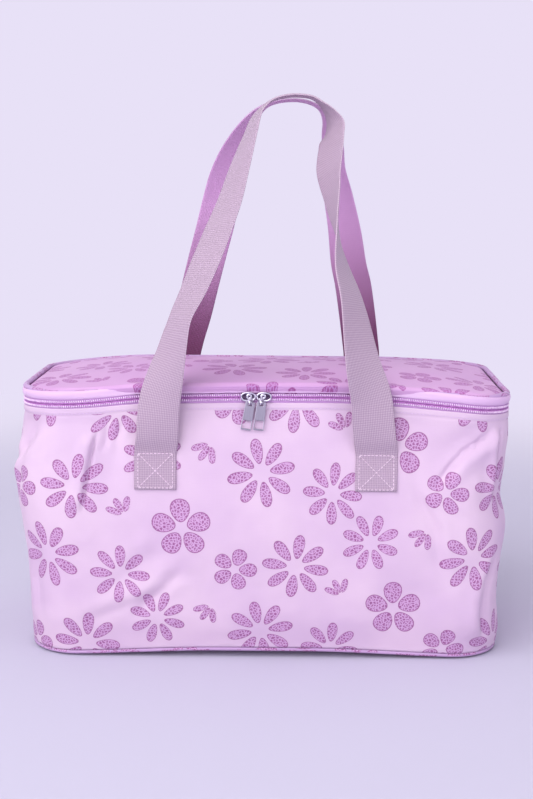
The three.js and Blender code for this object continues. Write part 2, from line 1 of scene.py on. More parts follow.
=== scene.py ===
"""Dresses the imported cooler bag: printed satin body, zip, webbing loops and insulated inside.

Lengths are in millimetres in the classes and become metres where a mesh is made.
X runs across the front, Y from front to back and Z up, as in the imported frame.
"""

import logging
import math
from abc import ABC, abstractmethod
from dataclasses import dataclass, field
from enum import Enum
from functools import reduce
from typing import Callable, Sequence

import bpy
import numpy as np
from mathutils import Matrix, Vector

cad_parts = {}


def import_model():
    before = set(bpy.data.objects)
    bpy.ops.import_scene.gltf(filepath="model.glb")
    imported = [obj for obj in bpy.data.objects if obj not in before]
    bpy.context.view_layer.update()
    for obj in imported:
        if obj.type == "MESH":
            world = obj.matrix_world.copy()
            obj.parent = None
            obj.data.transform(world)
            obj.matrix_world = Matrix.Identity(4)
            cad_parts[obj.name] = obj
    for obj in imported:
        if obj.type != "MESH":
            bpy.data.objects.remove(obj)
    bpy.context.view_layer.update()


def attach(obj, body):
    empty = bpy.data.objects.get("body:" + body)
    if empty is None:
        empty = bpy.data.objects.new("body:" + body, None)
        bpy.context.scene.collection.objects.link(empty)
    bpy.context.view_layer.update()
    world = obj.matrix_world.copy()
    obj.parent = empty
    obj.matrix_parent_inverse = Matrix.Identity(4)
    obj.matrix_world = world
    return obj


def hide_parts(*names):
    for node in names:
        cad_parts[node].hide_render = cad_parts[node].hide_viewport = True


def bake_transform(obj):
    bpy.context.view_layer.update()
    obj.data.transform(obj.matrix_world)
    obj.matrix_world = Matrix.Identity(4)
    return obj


MM = 0.001
TURN = 2 * math.pi
LOG = logging.getLogger("cooler_bag")
Array = np.ndarray
Piece = bpy.types.Object
Material = bpy.types.Material
Socket = bpy.types.NodeSocket
Tree = bpy.types.NodeTree
Face = Sequence[int]
Shape = tuple[Array, list[Face]]
Spot = tuple[float, float, float]
Line = tuple[tuple[float, float], ...]
Station = tuple[float, float, float, float]
Push = Callable[[Array, Array], Array]


def smooth(start: float, end: float, value: Array) -> Array:
    """Eased step from 0 at start to 1 at end."""
    share = np.clip((np.asarray(value, float) - start) / (end - start), 0, 1)
    return share * share * (3 - 2 * share)


def tint(code: str) -> tuple[float, float, float, float]:
    """Linear colour of a hexadecimal colour code.

    Args:
        code: six hexadecimal digits, red first.

    Returns:
        Red, green, blue and full opacity.
    """
    parts = [int(code[i : i + 2], 16) / 255 for i in (0, 2, 4)]
    bright = [p / 12.92 if p <= 0.04045 else ((p + 0.055) / 1.055) ** 2.4 for p in parts]
    return (bright[0], bright[1], bright[2], 1.0)


class Slot(Enum):
    """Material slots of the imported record."""

    PRINT = "printed_fabric"
    PLAIN = "plain_fabric"
    WEBBING = "webbing"
    TAPE = "zip_tape"
    COIL = "zip_coil"
    SLIDER = "slider_metal"
    PULLER = "puller_metal"
    FOAM = "foam"
    BOARD = "board"
    LINING = "lining"
    THREAD = "thread"


# Mesh building


def show(name: str, data: bpy.types.ID) -> Piece:
    """Puts an object in the scene.

    Args:
        name: name of the object.
        data: its mesh, curve, lamp or camera.

    Returns:
        The new object.
    """
    item = bpy.data.objects.new(name, data)
    bpy.context.scene.collection.objects.link(item)
    return item


def travelled(points: Array) -> Array:
    """Distance from the first of a row of points to each of them, along the row."""
    return np.concatenate([[0], np.cumsum(np.linalg.norm(np.diff(points, axis=0), axis=1))])


def unit(rows: Array) -> Array:
    """Rows scaled to a length of one."""
    return rows / np.linalg.norm(rows, axis=1)[:, None]


def circle(steps: int, start: float = 0.0) -> Array:
    """Cosines and sines of even steps round a circle, as (2, n)."""
    turn = (np.arange(steps) + start) * TURN / steps
    return np.array([np.cos(turn), np.sin(turn)])


def at_height(flat: Array, height: Array) -> Array:
    """Points from X and Y in the last axis and a height for each."""
    return np.concatenate([flat, height[..., None]], axis=-1)


def signed_volume(points: Array, faces: Sequence[Face]) -> float:
    """Volume that faces enclose, negative where they face inwards.

    Args:
        points: corner points, one row each.
        faces: point numbers of each face.

    Returns:
        The enclosed volume in cubic units of the points.
    """
    total = 0.0
    quads = np.array([f for f in faces if len(f) == 4])
    if len(quads):
        a, b, c, d = (points[quads[:, k]] for k in range(4))
        total += np.einsum("ij,ij->", a, np.cross(b, c)) + np.einsum("ij,ij->", a, np.cross(c, d))
    for face in faces:
        if len(face) != 4:
            for k in range(1, len(face) - 1):
                total += points[face[0]] @ np.cross(points[face[k]], points[face[k + 1]])
    return total / 6


def make_mesh(name: str, points: Array, faces: Sequence[Face], corner_uv: Array | None = None) -> Piece:
    """Makes a smooth-shaded mesh object in metres.

    Args:
        name: name of the piece.
        points: corner points in millimetres.
        faces: point numbers of each face.
        corner_uv: cloth coordinates in metres of each face corner, in face order.

    Returns:
        The new object.
    """
    turned = signed_volume(points, faces) < 0
    if turned:
        faces = [tuple(reversed(face)) for face in faces]
    mesh = bpy.data.meshes.new(name)
    mesh.from_pydata((points * MM).tolist(), [], [tuple(face) for face in faces])
    if corner_uv is not None:
        if turned:
            sizes = [len(face) for face in faces]
            starts = np.concatenate([[0], np.cumsum(sizes)[:-1]])
            order = np.concatenate([np.arange(a + n - 1, a - 1, -1) for a, n in zip(starts, sizes)])
            corner_uv = corner_uv[order]
        mesh.uv_layers.new(name="cloth").data.foreach_set("uv", corner_uv.astype(np.float32).ravel())
    mesh.polygons.foreach_set("use_smooth", np.ones(len(mesh.polygons), bool))
    return show(name, mesh)


def grid_mesh(
    name: str,
    points: Array,
    u: Array | None = None,
    v: Array | None = None,
    round_u: bool = True,
    round_v: bool = True,
) -> Piece:
    """Makes a closed mesh from a grid of points, with caps where a side stays open.

    Args:
        name: name of the piece.
        points: grid of points in millimetres, shaped (across, along, 3).
        u: cloth coordinate of each line across, with one more where the grid is round. Without u and v,
            cloth coordinates are the points' own X and Y.
        v: cloth coordinate of each line along, with one more where it is round.
        round_u: whether the first axis closes on itself.
        round_v: whether the second axis closes on itself.

    Returns:
        The new object.
    """
    across, along = points.shape[:2]
    lines = np.arange(across if round_u else across - 1), np.arange(along if round_v else along - 1)
    i, k = (index.ravel() for index in np.meshgrid(*lines, indexing="ij"))
    far, above = (i + 1) % across, (k + 1) % along
    quads = np.stack([i * along + k, far * along + k, far * along + above, i * along + above], axis=1)
    faces: list[Face] = quads.tolist()
    flat = points.reshape(-1, 3)
    if u is None or v is None:
        corner_uv = flat[quads.ravel()][:, :2]
    else:
        next_u, next_v = u[i + 1 if round_u else far], v[k + 1 if round_v else above]
        corner_uv = np.stack([u[i], v[k], next_u, v[k], next_u, next_v, u[i], next_v], axis=1).reshape(-1, 2)
    caps: list[Face] = []
    if not round_u:
        caps += [range(along), [(across - 1) * along + n for n in reversed(range(along))]]
    if not round_v:
        caps += [[n * along for n in reversed(range(across))], [n * along + along - 1 for n in range(across)]]
    for cap in caps:
        faces.append(list(cap))
        corner_uv = np.concatenate([corner_uv, flat[list(cap)][:, :2]])
    return make_mesh(name, flat, faces, corner_uv * MM)


def scatter(name: str, shape: Shape, places: Array, axes: Array) -> Piece:
    """Repeats a small closed shape at many places in one mesh.

    Args:
        name: name of the piece.
        shape: points and faces of the small shape.
        places: middle of each copy, in millimetres.
        axes: for each copy, the three directions that the shape's own axes take, as rows.

    Returns:
        The new object.
    """
    points, faces = shape
    spread = places[:, None, :] + np.einsum("pk,mkj->mpj", points, axes)
    count = len(points)
    every = [tuple(n * count + c for c in face) for n in range(len(places)) for face in faces]
    flat = spread.reshape(-1, 3)
    uv = np.concatenate([flat[list(face)][:, [0, 2]] for face in every]) * MM
    return make_mesh(name, flat, every, uv)


# Small closed shapes


def outward_shape(points: Array, faces: list[Face]) -> Shape:
    """Shape of points and faces, with its faces turned outwards."""
    turned = signed_volume(points, faces) < 0
    return points, [tuple(reversed(face)) for face in faces] if turned else faces


def ring_shape(points: Array) -> Shape:
    """Closed shape from a grid that is round both ways.

    Args:
        points: the grid, shaped (across, along, 3).

    Returns:
        Its points and faces.
    """
    across, along = points.shape[:2]
    faces: list[Face] = []
    for i in range(across):
        for k in range(along):
            far, above = (i + 1) % across, (k + 1) % along
            faces.append((i * along + k, far * along + k, far * along + above, i * along + above))
    return outward_shape(points.reshape(-1, 3), faces)


def tube_sides(rings: int, sides: int) -> list[Face]:
    """Faces between each ring of a tube and the next."""
    edges = [(i * sides + k, i * sides + (k + 1) % sides) for i in range(rings - 1) for k in range(sides)]
    return [(near, beside, beside + sides, near + sides) for near, beside in edges]


def tube_shape(rings: Array) -> Shape:
    """Closed shape from a row of rings, capped at both ends.

    Args:
        rings: the rings, shaped (rings, sides, 3).

    Returns:
        Its points and faces.
    """
    count, sides = rings.shape[:2]
    caps = [tuple(reversed(range(sides))), tuple(range((count - 1) * sides, count * sides))]
    return outward_shape(rings.reshape(-1, 3), tube_sides(count, sides) + caps)


def rounded_bar(length: float, width: float, height: float) -> Shape:
    """Small six-sided bar with rounded ends along its first axis.

    Args:
        length: size along the first axis.
        width: size along the second axis.
        height: size along the third axis.

    Returns:
        Its points and faces.
    """
    cos, sin = circle(6)
    rings = []
    for share in np.linspace(-1, 1, 5):
        girth = max(0.35, math.sqrt(max(0.0, 1 - abs(share) ** 3)))
        ring = [np.full(6, share * length / 2), cos * girth * width / 2, sin * girth * height / 2]
        rings.append(np.stack(ring, axis=1))
    return tube_shape(np.array(rings))


def box_shape(centre: Spot, size: Spot, soft: float) -> Shape:
    """Flat plate facing the front, with softened edges.

    Args:
        centre: middle of the plate.
        size: its sizes along X, Y and Z.
        soft: size of the softened edge.

    Returns:
        Its points and faces.
    """
    x, z = np.clip(circle(32, 0.5) * 1.35, -1, 1)
    rings = []
    for share, face in ((1, -1), (0, -1), (0, 1), (1, 1)):
        y = np.full(32, face * (size[1] - (0 if share else soft)) / 2)
        ring = [x * (size[0] / 2 - soft * share), y, z * (size[2] / 2 - soft * share)]
        rings.append(np.stack(ring, axis=-1) + centre)
    return tube_shape(np.array(rings))


def join_shapes(shapes: Sequence[Shape]) -> Shape:
    """Puts several shapes into one.

    Args:
        shapes: points and faces of each.

    Returns:
        The points and faces of all.
    """
    faces: list[Face] = []
    done = 0
    for points, sides in shapes:
        faces += [tuple(done + corner for corner in face) for face in sides]
        done += len(points)
    return np.concatenate([points for points, _ in shapes]), faces


# Shape of the soft body


@dataclass(frozen=True)
class Outline:
    """Rounded rectangle that the bag follows, seen from above."""

    half_width: float = 226.0
    half_depth: float = 112.0
    radius: float = 50.0

    @property
    def length(self) -> float:
        """Way round the outline."""
        straight = 4 * (self.half_width + self.half_depth - 2 * self.radius)
        return straight + TURN * self.radius

    def follow(self, along: Array) -> tuple[Array, Array]:
        """Walks the outline from the middle of the front towards the right.

        Args:
            along: distances from the middle of the front.

        Returns:
            Points on the outline and their outward directions, both (n, 2).
        """
        left = np.mod(np.asarray(along, float), self.length)
        flat_x, flat_y = self.half_width - self.radius, self.half_depth - self.radius
        legs = [
            ((0, -self.half_depth), (1, 0), flat_x, None),
            ((flat_x, -flat_y), None, self.radius * math.pi / 2, -90),
            ((self.half_width, -flat_y), (0, 1), 2 * flat_y, None),
            ((flat_x, flat_y), None, self.radius * math.pi / 2, 0),
            ((flat_x, self.half_depth), (-1, 0), 2 * flat_x, None),
            ((-flat_x, flat_y), None, self.radius * math.pi / 2, 90),
            ((-self.half_width, flat_y), (0, -1), 2 * flat_y, None),
            ((-flat_x, -flat_y), None, self.radius * math.pi / 2, 180),
            ((-flat_x, -self.half_depth), (1, 0), flat_x, None),
        ]
        points = np.zeros((len(left), 2))
        outward = np.zeros((len(left), 2))
        done = 0.0
        for origin, heading, reach, start in legs:
            here = (left >= done - 1e-9) & (left <= done + reach + 1e-9)
            step = left[here] - done
            if heading is None:
                angle = math.radians(start) + step / self.radius
                outward[here] = np.stack([np.cos(angle), np.sin(angle)], axis=1)
                points[here] = np.array(origin) + self.radius * outward[here]
            else:
                points[here] = np.array(origin) + step[:, None] * np.array(heading)
                outward[here] = (heading[1], -heading[0])
            done += reach
        return points, outward

    def depth_inside(self, x: Array, y: Array) -> Array:
        """Distance from points inside to the nearest part of the outline.

        Args:
            x: X of each point.
            y: Y of each point.

        Returns:
            The distance of each point.
        """
        over_x = np.abs(x) - (self.half_width - self.radius)
        over_y = np.abs(y) - (self.half_depth - self.radius)
        past = np.hypot(np.maximum(over_x, 0), np.maximum(over_y, 0))
        return self.radius - past - np.minimum(np.maximum(over_x, over_y), 0)


@dataclass(frozen=True)
class Slump:
    """How the soft body settles: sides that cave in, edges that sag and rise."""

    rim: float = 233.2
    floor: float = 4.2
    bulge: float = 6.0
    rear_droop: float = 3.4
    rear_left_droop: float = 3.0
    middle_lift: float = 4.6
    tuck: float = 3.6
    zip_lift: float = 1.0
    front_rim: Line = (
        (-230, -5.8), (-205, -4.7), (-182, -4.0), (-158, -3.1), (-134, 0.0), (-108, 1.9), (-66, 2.1), (-35, 3.0),
        (0, 3.4), (40, 3.4), (66, 3.9), (92, 2.4), (120, 0.8), (150, -1.8), (190, -4.8), (210, -8.4), (230, -8.0),
    )
    left_side: Line = (
        (0, -5.0), (20, -3.5), (38, -2.2), (60, -2.8), (90, -1.4),
        (120, 2.8), (150, 7.2), (180, 5.8), (200, 4.4), (215, 3.2), (233.2, 0.0), (270, 0.0),
    )
    right_side: Line = (
        (0, -5.0), (12, -2.5), (34, -3.5), (53, -4.5), (83, -3.5), (122, 1.5),
        (137, -0.5), (151, -6.0), (165, -4.6), (180, -2.6), (203, -0.4), (215, 0.4), (233.2, 0.0), (270, 0.0),
    )
    ease: float = 7.0
    half_depth: float = 112.0
    side_run: float = 190.0
    tuck_top: float = 42.0

    def side(self, profile: Line, height: Array) -> Array:
        """Reads a side's outward offset at heights, eased over its corners.

        Args:
            profile: pairs of height and offset.
            height: heights to read.

        Returns:
            The offset at each height.
        """
        heights, offsets = np.array(profile).T
        total = np.zeros_like(np.asarray(height, float))
        for step, share in ((-1.4, 0.15), (-0.7, 0.22), (0, 0.26), (0.7, 0.22), (1.4, 0.15)):
            total += share * np.interp(height + step * self.ease, heights, offsets)
        return total * (1 - smooth(self.rim - 12, self.rim, height))

    def settle(self, points: Array) -> Array:
        """Moves points of the straight body to where the settled body has them.

        Args:
            points: points in millimetres, with X, Y and Z last.

        Returns:
            The moved points.
        """
        moved = np.array(points, float)
        x, y, z = points[..., 0], points[..., 1], points[..., 2]
        share = np.clip((z - self.floor) / (self.rim - self.floor), 0, 1)
        reach = smooth(0, self.side_run, np.abs(x))
        offset = np.where(x < 0, -self.side(self.left_side, z), self.side(self.right_side, z))
        moved[..., 0] = x + offset * reach
        tucked = 1 - self.tuck / self.half_depth * (1 - smooth(0, self.tuck_top, z))
        moved[..., 1] = y * (tucked + self.bulge * 4 * share * (1 - share) / self.half_depth)
        moved[..., 2] = z + self.droop(x, y) * smooth(0.35, 1, share)
        rise = self.middle_lift * (1 - smooth(40, 205, np.abs(x)))
        moved[..., 2] += rise * (1 - smooth(0, 0.5, share))
        stretched = smooth(-160, -90, x) * smooth(190, 110, x) * smooth(60, -60, y)
        moved[..., 2] += self.zip_lift * stretched * smooth(self.rim + 2.8, self.rim + 4.2, z)
        return moved

    def droop(self, x: Array, y: Array) -> Array:
        """How far the rim and lid rise, or sink where it is negative.

        Args:
            x: X of each place, seen from above.
            y: Y of each place.

        Returns:
            The rise at each place.
        """
        stations, rises = np.array(self.front_rim).T
        front = np.zeros(np.shape(x))
        for step in (-18, -9, 0, 9, 18):
            front += np.interp(x + step, stations, rises) / 5
        rear = -self.rear_droop * smooth(112, 226, np.abs(x))
        rear -= self.rear_left_droop * smooth(-130, -226, x)
        share = smooth(-70, 90, y)
        return front * (1 - share) + rear * share


@dataclass(frozen=True)
class Crease:
    """Fold line in the cloth: a valley with a ridge beside it."""

    route: Line
    depth: float
    width: float
    ridge: float = 0.0
    ridge_offset: float = 6.0
    ridge_width: float = 6.0
    fade: float = 0.3

    def push(self, along: Array, height: Array) -> Array:
        """Outward push of the fold at places on the cloth.

        Args:
            along: distances round the bag.
            height: heights on the wall.

        Returns:
            The push at each place, negative inwards.
        """
        route = np.array(self.route, float)
        legs = np.hypot(*np.diff(route, axis=0).T)
        total = legs.sum()
        nearest = np.full(np.shape(along), 1e9)
        sided = np.zeros(np.shape(along))
        travelled = np.zeros(np.shape(along))
        done = 0.0
        for (a, b), leg in zip(zip(route[:-1], route[1:]), legs):
            heading = (b - a) / leg
            reach = (along - a[0]) * heading[0] + (height - a[1]) * heading[1]
            held = np.clip(reach, 0, leg)
            gap_u = along - a[0] - held * heading[0]
            gap_v = height - a[1] - held * heading[1]
            gap = np.hypot(gap_u, gap_v)
            closer = gap < nearest
            side = np.sign(heading[0] * gap_v - heading[1] * gap_u)
            sided = np.where(closer, side * gap, sided)
            travelled = np.where(closer, (done + held) / total, travelled)
            nearest = np.where(closer, gap, nearest)
            done += leg
        ends = smooth(0, self.fade, travelled) * smooth(0, self.fade, 1 - travelled)
        valley = -self.depth * np.exp(-((nearest / self.width) ** 2))
        hill = self.ridge * np.exp(-(((sided - self.ridge_offset) / self.ridge_width) ** 2))
        return (valley + hill) * ends


@dataclass(frozen=True)
class Dent:
    """Soft hollow, or a swelling where its depth is negative."""

    along: float
    height: float
    half_width: float
    half_height: float
    depth: float
    lean: float = 0.0

    def push(self, along: Array, height: Array) -> Array:
        """Outward push of the hollow at places on the cloth."""
        turned = (along - self.along + 1j * (height - self.height)) * np.exp(-1j * math.radians(self.lean))
        return -self.depth * np.exp(-((turned.real / self.half_width) ** 2) - (turned.imag / self.half_height) ** 2)


@dataclass(frozen=True)
class Ripple:
    """Gentle waves all over a cloth, the same on every run."""

    seed: int
    amount: float
    shortest: float
    longest: float
    waves: int = 26
    lap: float = 1266.159

    def push(self, along: Array, height: Array) -> Array:
        """Outward push of the waves at places on the cloth.

        Args:
            along: distances round the bag.
            height: heights on the cloth.

        Returns:
            The push at each place.
        """
        draw = np.random.default_rng(self.seed)
        total = np.zeros(np.broadcast(along, height).shape)
        for _ in range(self.waves):
            size = draw.uniform(self.shortest, self.longest)
            angle = draw.uniform(0, TURN)
            turns = round(self.lap / size * math.cos(angle))
            rise = TURN / size * math.sin(angle)
            start = draw.uniform(0, TURN)
            total += np.sin(TURN * turns / self.lap * along + rise * height + start)
        return self.amount * total / math.sqrt(self.waves)


@dataclass
class Body:
    """The bag's outline with the way it settles, shared by every sewn layer."""

    outline: Outline = field(default_factory=Outline)
    slump: Slump = field(default_factory=Slump)
    hinge: float = 165.0

    def stations(self, count: int) -> Array:
        """Even distances once round the bag, starting and ending behind."""
        half = self.outline.length / 2
        return np.linspace(-half, half, count + 1)

    def zip_stations(self, step: float) -> Array:
        """Even distances round the zip, from one end of the hinge to the other."""
        half = self.outline.length / 2 - self.hinge
        return np.linspace(-half, half, round(2 * half / step) + 1)

    def place(
        self, along: Array, inset: Array | float, height: Array | float, push: Push | None = None
    ) -> Array:
        """Points at distances round the bag, insets and heights.

        Args:
            along: distances round the bag.
            inset: distances inwards from the outline.
            height: heights before the body settles.
            push: further outward push of the cloth.

        Returns:
            Points shaped like the inputs, with X, Y and Z last.
        """
        along, inset, height = np.broadcast_arrays(along, inset, height)
        base, outward = (rows.reshape(*along.shape, 2) for rows in self.outline.follow(along.ravel()))
        points = self.slump.settle(at_height(base - outward * inset[..., None], height))
        if push is not None:
            points[..., :2] += outward * push(along, height)[..., None]
        return points

    def frames(self, along: Array) -> Array:
        """Directions along the outline, out of it and up.

        Args:
            along: distances round the bag.

        Returns:
            The three directions at each distance, as (n, 3, 3).
        """
        out = np.pad(self.outline.follow(along)[1], ((0, 0), (0, 1)))
        ahead = np.stack([-out[:, 1], out[:, 0], out[:, 2]], axis=1)
        return np.stack([ahead, out, np.tile([0.0, 0.0, 1.0], (len(along), 1))], axis=1)

    def sweep(
        self,
        name: str,
        section: Array,
        along: Array,
        push: Push | None = None,
        rolled: bool = False,
        closed: bool = False,
    ) -> Piece:
        """Sweeps a closed section along the outline.

        Args:
            name: name of the piece.
            section: inset and height of each corner of the section.
            along: distances round the bag, from and to the same place where the sweep is closed.
            push: further outward push of the cloth.
            rolled: whether cloth coordinates follow the section's own length.
            closed: whether the sweep goes all the way round.

        Returns:
            The new object.
        """
        here = along[:-1] if closed else along
        grid = self.place(here[:, None], section[None, :, 0], section[None, :, 1], push)
        corners = np.concatenate([section, section[:1]])
        lengths = section[0, 1] + travelled(corners) if rolled else corners[:, 1]
        return grid_mesh(name, grid, along, lengths, round_u=closed)

    def ring(
        self, name: str, section: Array, count: int = 320, push: Push | None = None, rolled: bool = False
    ) -> Piece:
        """Sweeps a closed section once round the bag, in a number of steps."""
        return self.sweep(name, section, self.stations(count), push, rolled, closed=True)

    def strip(self, name: str, section: Array) -> Piece:
        """Sweeps a closed section round the zip and leaves the hinge free."""
        return self.sweep(name, section, self.zip_stations(4.0), rolled=True)

    def plate(
        self,
        name: str,
        inset: float,
        low: float,
        high: float,
        crown: Callable[[Array], Array] | None = None,
        swell: Push | None = None,
        sag: Push | None = None,
    ) -> Piece:
        """Closed sheet with the bag's outline.

        Args:
            name: name of the piece.
            inset: distance of its edge inwards from the outline.
            low: height of its underside at the edge.
            high: height of its upper side at the edge.
            crown: rise at distances inwards from the outline.
            swell: rise of the upper side at X and Y.
            sag: how far the underside hangs at X and Y.

        Returns:
            The new object.
        """
        along = self.stations(240)
        base, outward = self.outline.follow(along[:-1])
        shares = np.append(1 - np.linspace(0, 1, 30)[:-1] ** 1.6, 0.012)
        flat = (base - outward * inset)[:, None, :] * shares[None, :, None]
        inner = self.outline.depth_inside(flat[..., 0], flat[..., 1])
        rise = crown(inner) if crown else np.zeros(inner.shape)
        top, under = at_height(flat, high + rise), at_height(flat, low + rise)
        if swell:
            top[..., 2] += swell(flat[..., 0], flat[..., 1])
        if sag:
            under[..., 2] -= sag(flat[..., 0], flat[..., 1])
        soft = min(0.4, (high - low) / 3)
        top[:, 0, 2] -= soft
        under[:, 0, 2] += soft
        return grid_mesh(name, self.slump.settle(np.concatenate([top[:, ::-1], under], axis=1)), round_v=False)


def bar_section(outer: float, inner: float, low: float, high: float, soft: float = 0.3) -> Array:
    """Section of a strip with softened corners.

    Args:
        outer: inset of its outer face.
        inner: inset of its inner face.
        low: its lower height.
        high: its upper height.
        soft: size of the softened corners.

    Returns:
        Inset and height of each corner.
    """
    corners = []
    for inset, height, start in (
        (outer + soft, low + soft, 270), (outer + soft, high - soft, 180),
        (inner - soft, high - soft, 90), (inner - soft, low + soft, 0),
    ):
        for step in (0, 45, 90):
            angle = math.radians(start - step)
            corners.append((inset + soft * math.cos(angle), height + soft * math.sin(angle)))
    return np.array(corners)


def tube_section(inset: float, height: float, radius: float) -> Array:
    """Round section at an inset and height."""
    cos, sin = circle(14)
    return np.stack([inset - radius * cos, height + radius * sin], axis=1)


def upright(inset: float, heights: Array) -> Array:
    """Row of section corners at one inset."""
    return np.stack([np.full(len(heights), inset), heights], axis=1)


def layer_section(outer: float, inner: float, low: float, high: float, levels: int) -> Array:
    """Section of a wall layer with softened edges.

    Args:
        outer: inset of its outer face.
        inner: inset of its inner face.
        low: its lower height.
        high: its upper height.
        levels: points up each face.

    Returns:
        Inset and height of each corner.
    """
    heights = np.linspace(low, high, levels)
    soft = min(0.5, (inner - outer) / 3)
    outside, inside = upright(outer, heights), upright(inner, heights[::-1])
    outside[[0, -1], 0] += soft
    inside[[0, -1], 0] -= soft
    return np.concatenate([outside, inside])


# Finishes


class Bench:
    """Node tree of one material, with short calls for the nodes that the finishes use."""

    def __init__(self, tree: Tree) -> None:
        """Starts an empty tree."""
        self.tree = tree
        tree.nodes.clear()

    def feed(self, socket: Socket, value: object) -> None:
        """Links a socket to another, or sets its value.

        Args:
            socket: the input.
            value: another socket, or the input's own value.
        """
        if isinstance(value, Socket):
            self.tree.links.new(value, socket)
        else:
            socket.default_value = value

    def add(self, kind: str, inputs: dict[int | str, object] | None = None, **settings: object) -> bpy.types.Node:
        """Adds a node.

        Args:
            kind: type of the node.
            inputs: what feeds each of its inputs, by number or name.
            settings: properties of the node.

        Returns:
            The node.
        """
        node = self.tree.nodes.new(kind)
        for key, value in settings.items():
            setattr(node, key, value)
        for place, value in (inputs or {}).items():
            self.feed(node.inputs[place], value)
        return node

    def math(self, operation: str, *values: object) -> Socket:
        """Scalar arithmetic on sockets and numbers."""
        return self.add("ShaderNodeMath", dict(enumerate(values)), operation=operation).outputs[0]

    def times(self, first: object, second: object) -> Socket:
        """Product of two values."""
        return self.math("MULTIPLY", first, second)

    def scaled(self, value: object, factor: object, start: object) -> Socket:
        """A value times a factor, added to a start."""
        return self.math("MULTIPLY_ADD", value, factor, start)

    def vector(self, operation: str, *values: object) -> Socket:
        """Vector arithmetic on sockets and triples."""
        return self.add("ShaderNodeVectorMath", dict(enumerate(values)), operation=operation).outputs[0]

    def split(self, vector: Socket) -> tuple[Socket, Socket]:
        """The X and Y of a vector."""
        axes = self.add("ShaderNodeSeparateXYZ", {0: vector}).outputs
        return axes[0], axes[1]

    def join(self, x: object, y: object) -> Socket:
        """A vector from X and Y."""
        return self.add("ShaderNodeCombineXYZ", {0: x, 1: y}).outputs[0]

    def blend(self, share: object, low: object, high: object) -> Socket:
        """Colour between two colours."""
        return self.add("ShaderNodeMix", {0: share, 6: low, 7: high}, data_type="RGBA").outputs[2]

    def ease(self, value: object, low: float, high: float) -> Socket:
        """Eased step of a value, from 0 at low to 1 at high."""
        inputs = {0: value, 1: low, 2: high}
        return self.add("ShaderNodeMapRange", inputs, interpolation_type="SMOOTHSTEP").outputs[0]

    def noise(self, vector: object, scale: float, detail: float = 3.0, rough: float = 0.5) -> Socket:
        """Cloudy noise from 0 to 1."""
        inputs = {"Vector": vector, "Scale": scale, "Detail": detail, "Roughness": rough}
        return self.add("ShaderNodeTexNoise", inputs).outputs[0]

    def cells(self, vector: object, scale: float, **settings: str) -> Socket:
        """Distance field of scattered cells."""
        node = self.add("ShaderNodeTexVoronoi", {"Vector": vector, "Scale": scale}, **settings)
        return node.outputs["Distance"]

    def mark(self, name: str) -> Socket:
        """Number that a mesh carries at each point."""
        return self.add("ShaderNodeAttribute", attribute_name=name).outputs["Fac"]

    def wave(self, value: object, pitch: float) -> Socket:
        """Ribs of a pitch along a coordinate, from 0 to 1."""
        return self.scaled(self.math("SINE", self.times(value, TURN / pitch)), 0.5, 0.5)


class Cloth:
    """Material of one piece, with its cloth coordinates in millimetres at hand."""

    def __init__(self, name: str) -> None:
        """Starts a material with a shader joined to its output.

        Args:
            name: name of the material.
        """
        self.material = bpy.data.materials.new(name)
        self.material.use_nodes = True
        self.bench = Bench(self.material.node_tree)
        self.shader = self.bench.add("ShaderNodeBsdfPrincipled")
        self.output = self.bench.add("ShaderNodeOutputMaterial", {0: self.shader.outputs[0]})

    def coordinates(self) -> Socket:
        """Cloth coordinates in millimetres."""
        uv = self.bench.add("ShaderNodeUVMap", uv_map="cloth").outputs[0]
        return self.bench.add("ShaderNodeVectorMath", {0: uv, "Scale": 1 / MM}, operation="SCALE").outputs[0]

    def place(self) -> Socket:
        """Place on the object in metres."""
        return self.bench.add("ShaderNodeTexCoord").outputs["Object"]

    def set(self, **numbers: object) -> None:
        """Sets or links the shader's sockets, named with underscores for spaces."""
        for key, value in numbers.items():
            self.bench.feed(self.shader.inputs[key.replace("_", " ")], value)

    def raise_by(self, height: Socket, strength: float, distance: float) -> None:
        """Adds a bump of a height field, its distance in millimetres."""
        inputs = {"Height": height, "Strength": strength, "Distance": distance * MM}
        self.set(Normal=self.bench.add("ShaderNodeBump", inputs).outputs[0])


class MotifKind(Enum):
    """Kinds of printed motif: petals, half length, half width, reach and spread."""

    DAISY = (8, 11.5, 5.2, 19.5, 4.0)
    BLOSSOM = (5, 11.0, 8.8, 16.5, 4.0)
    SPRIG = (9, 12.0, 5.0, 17.0, 1.1)


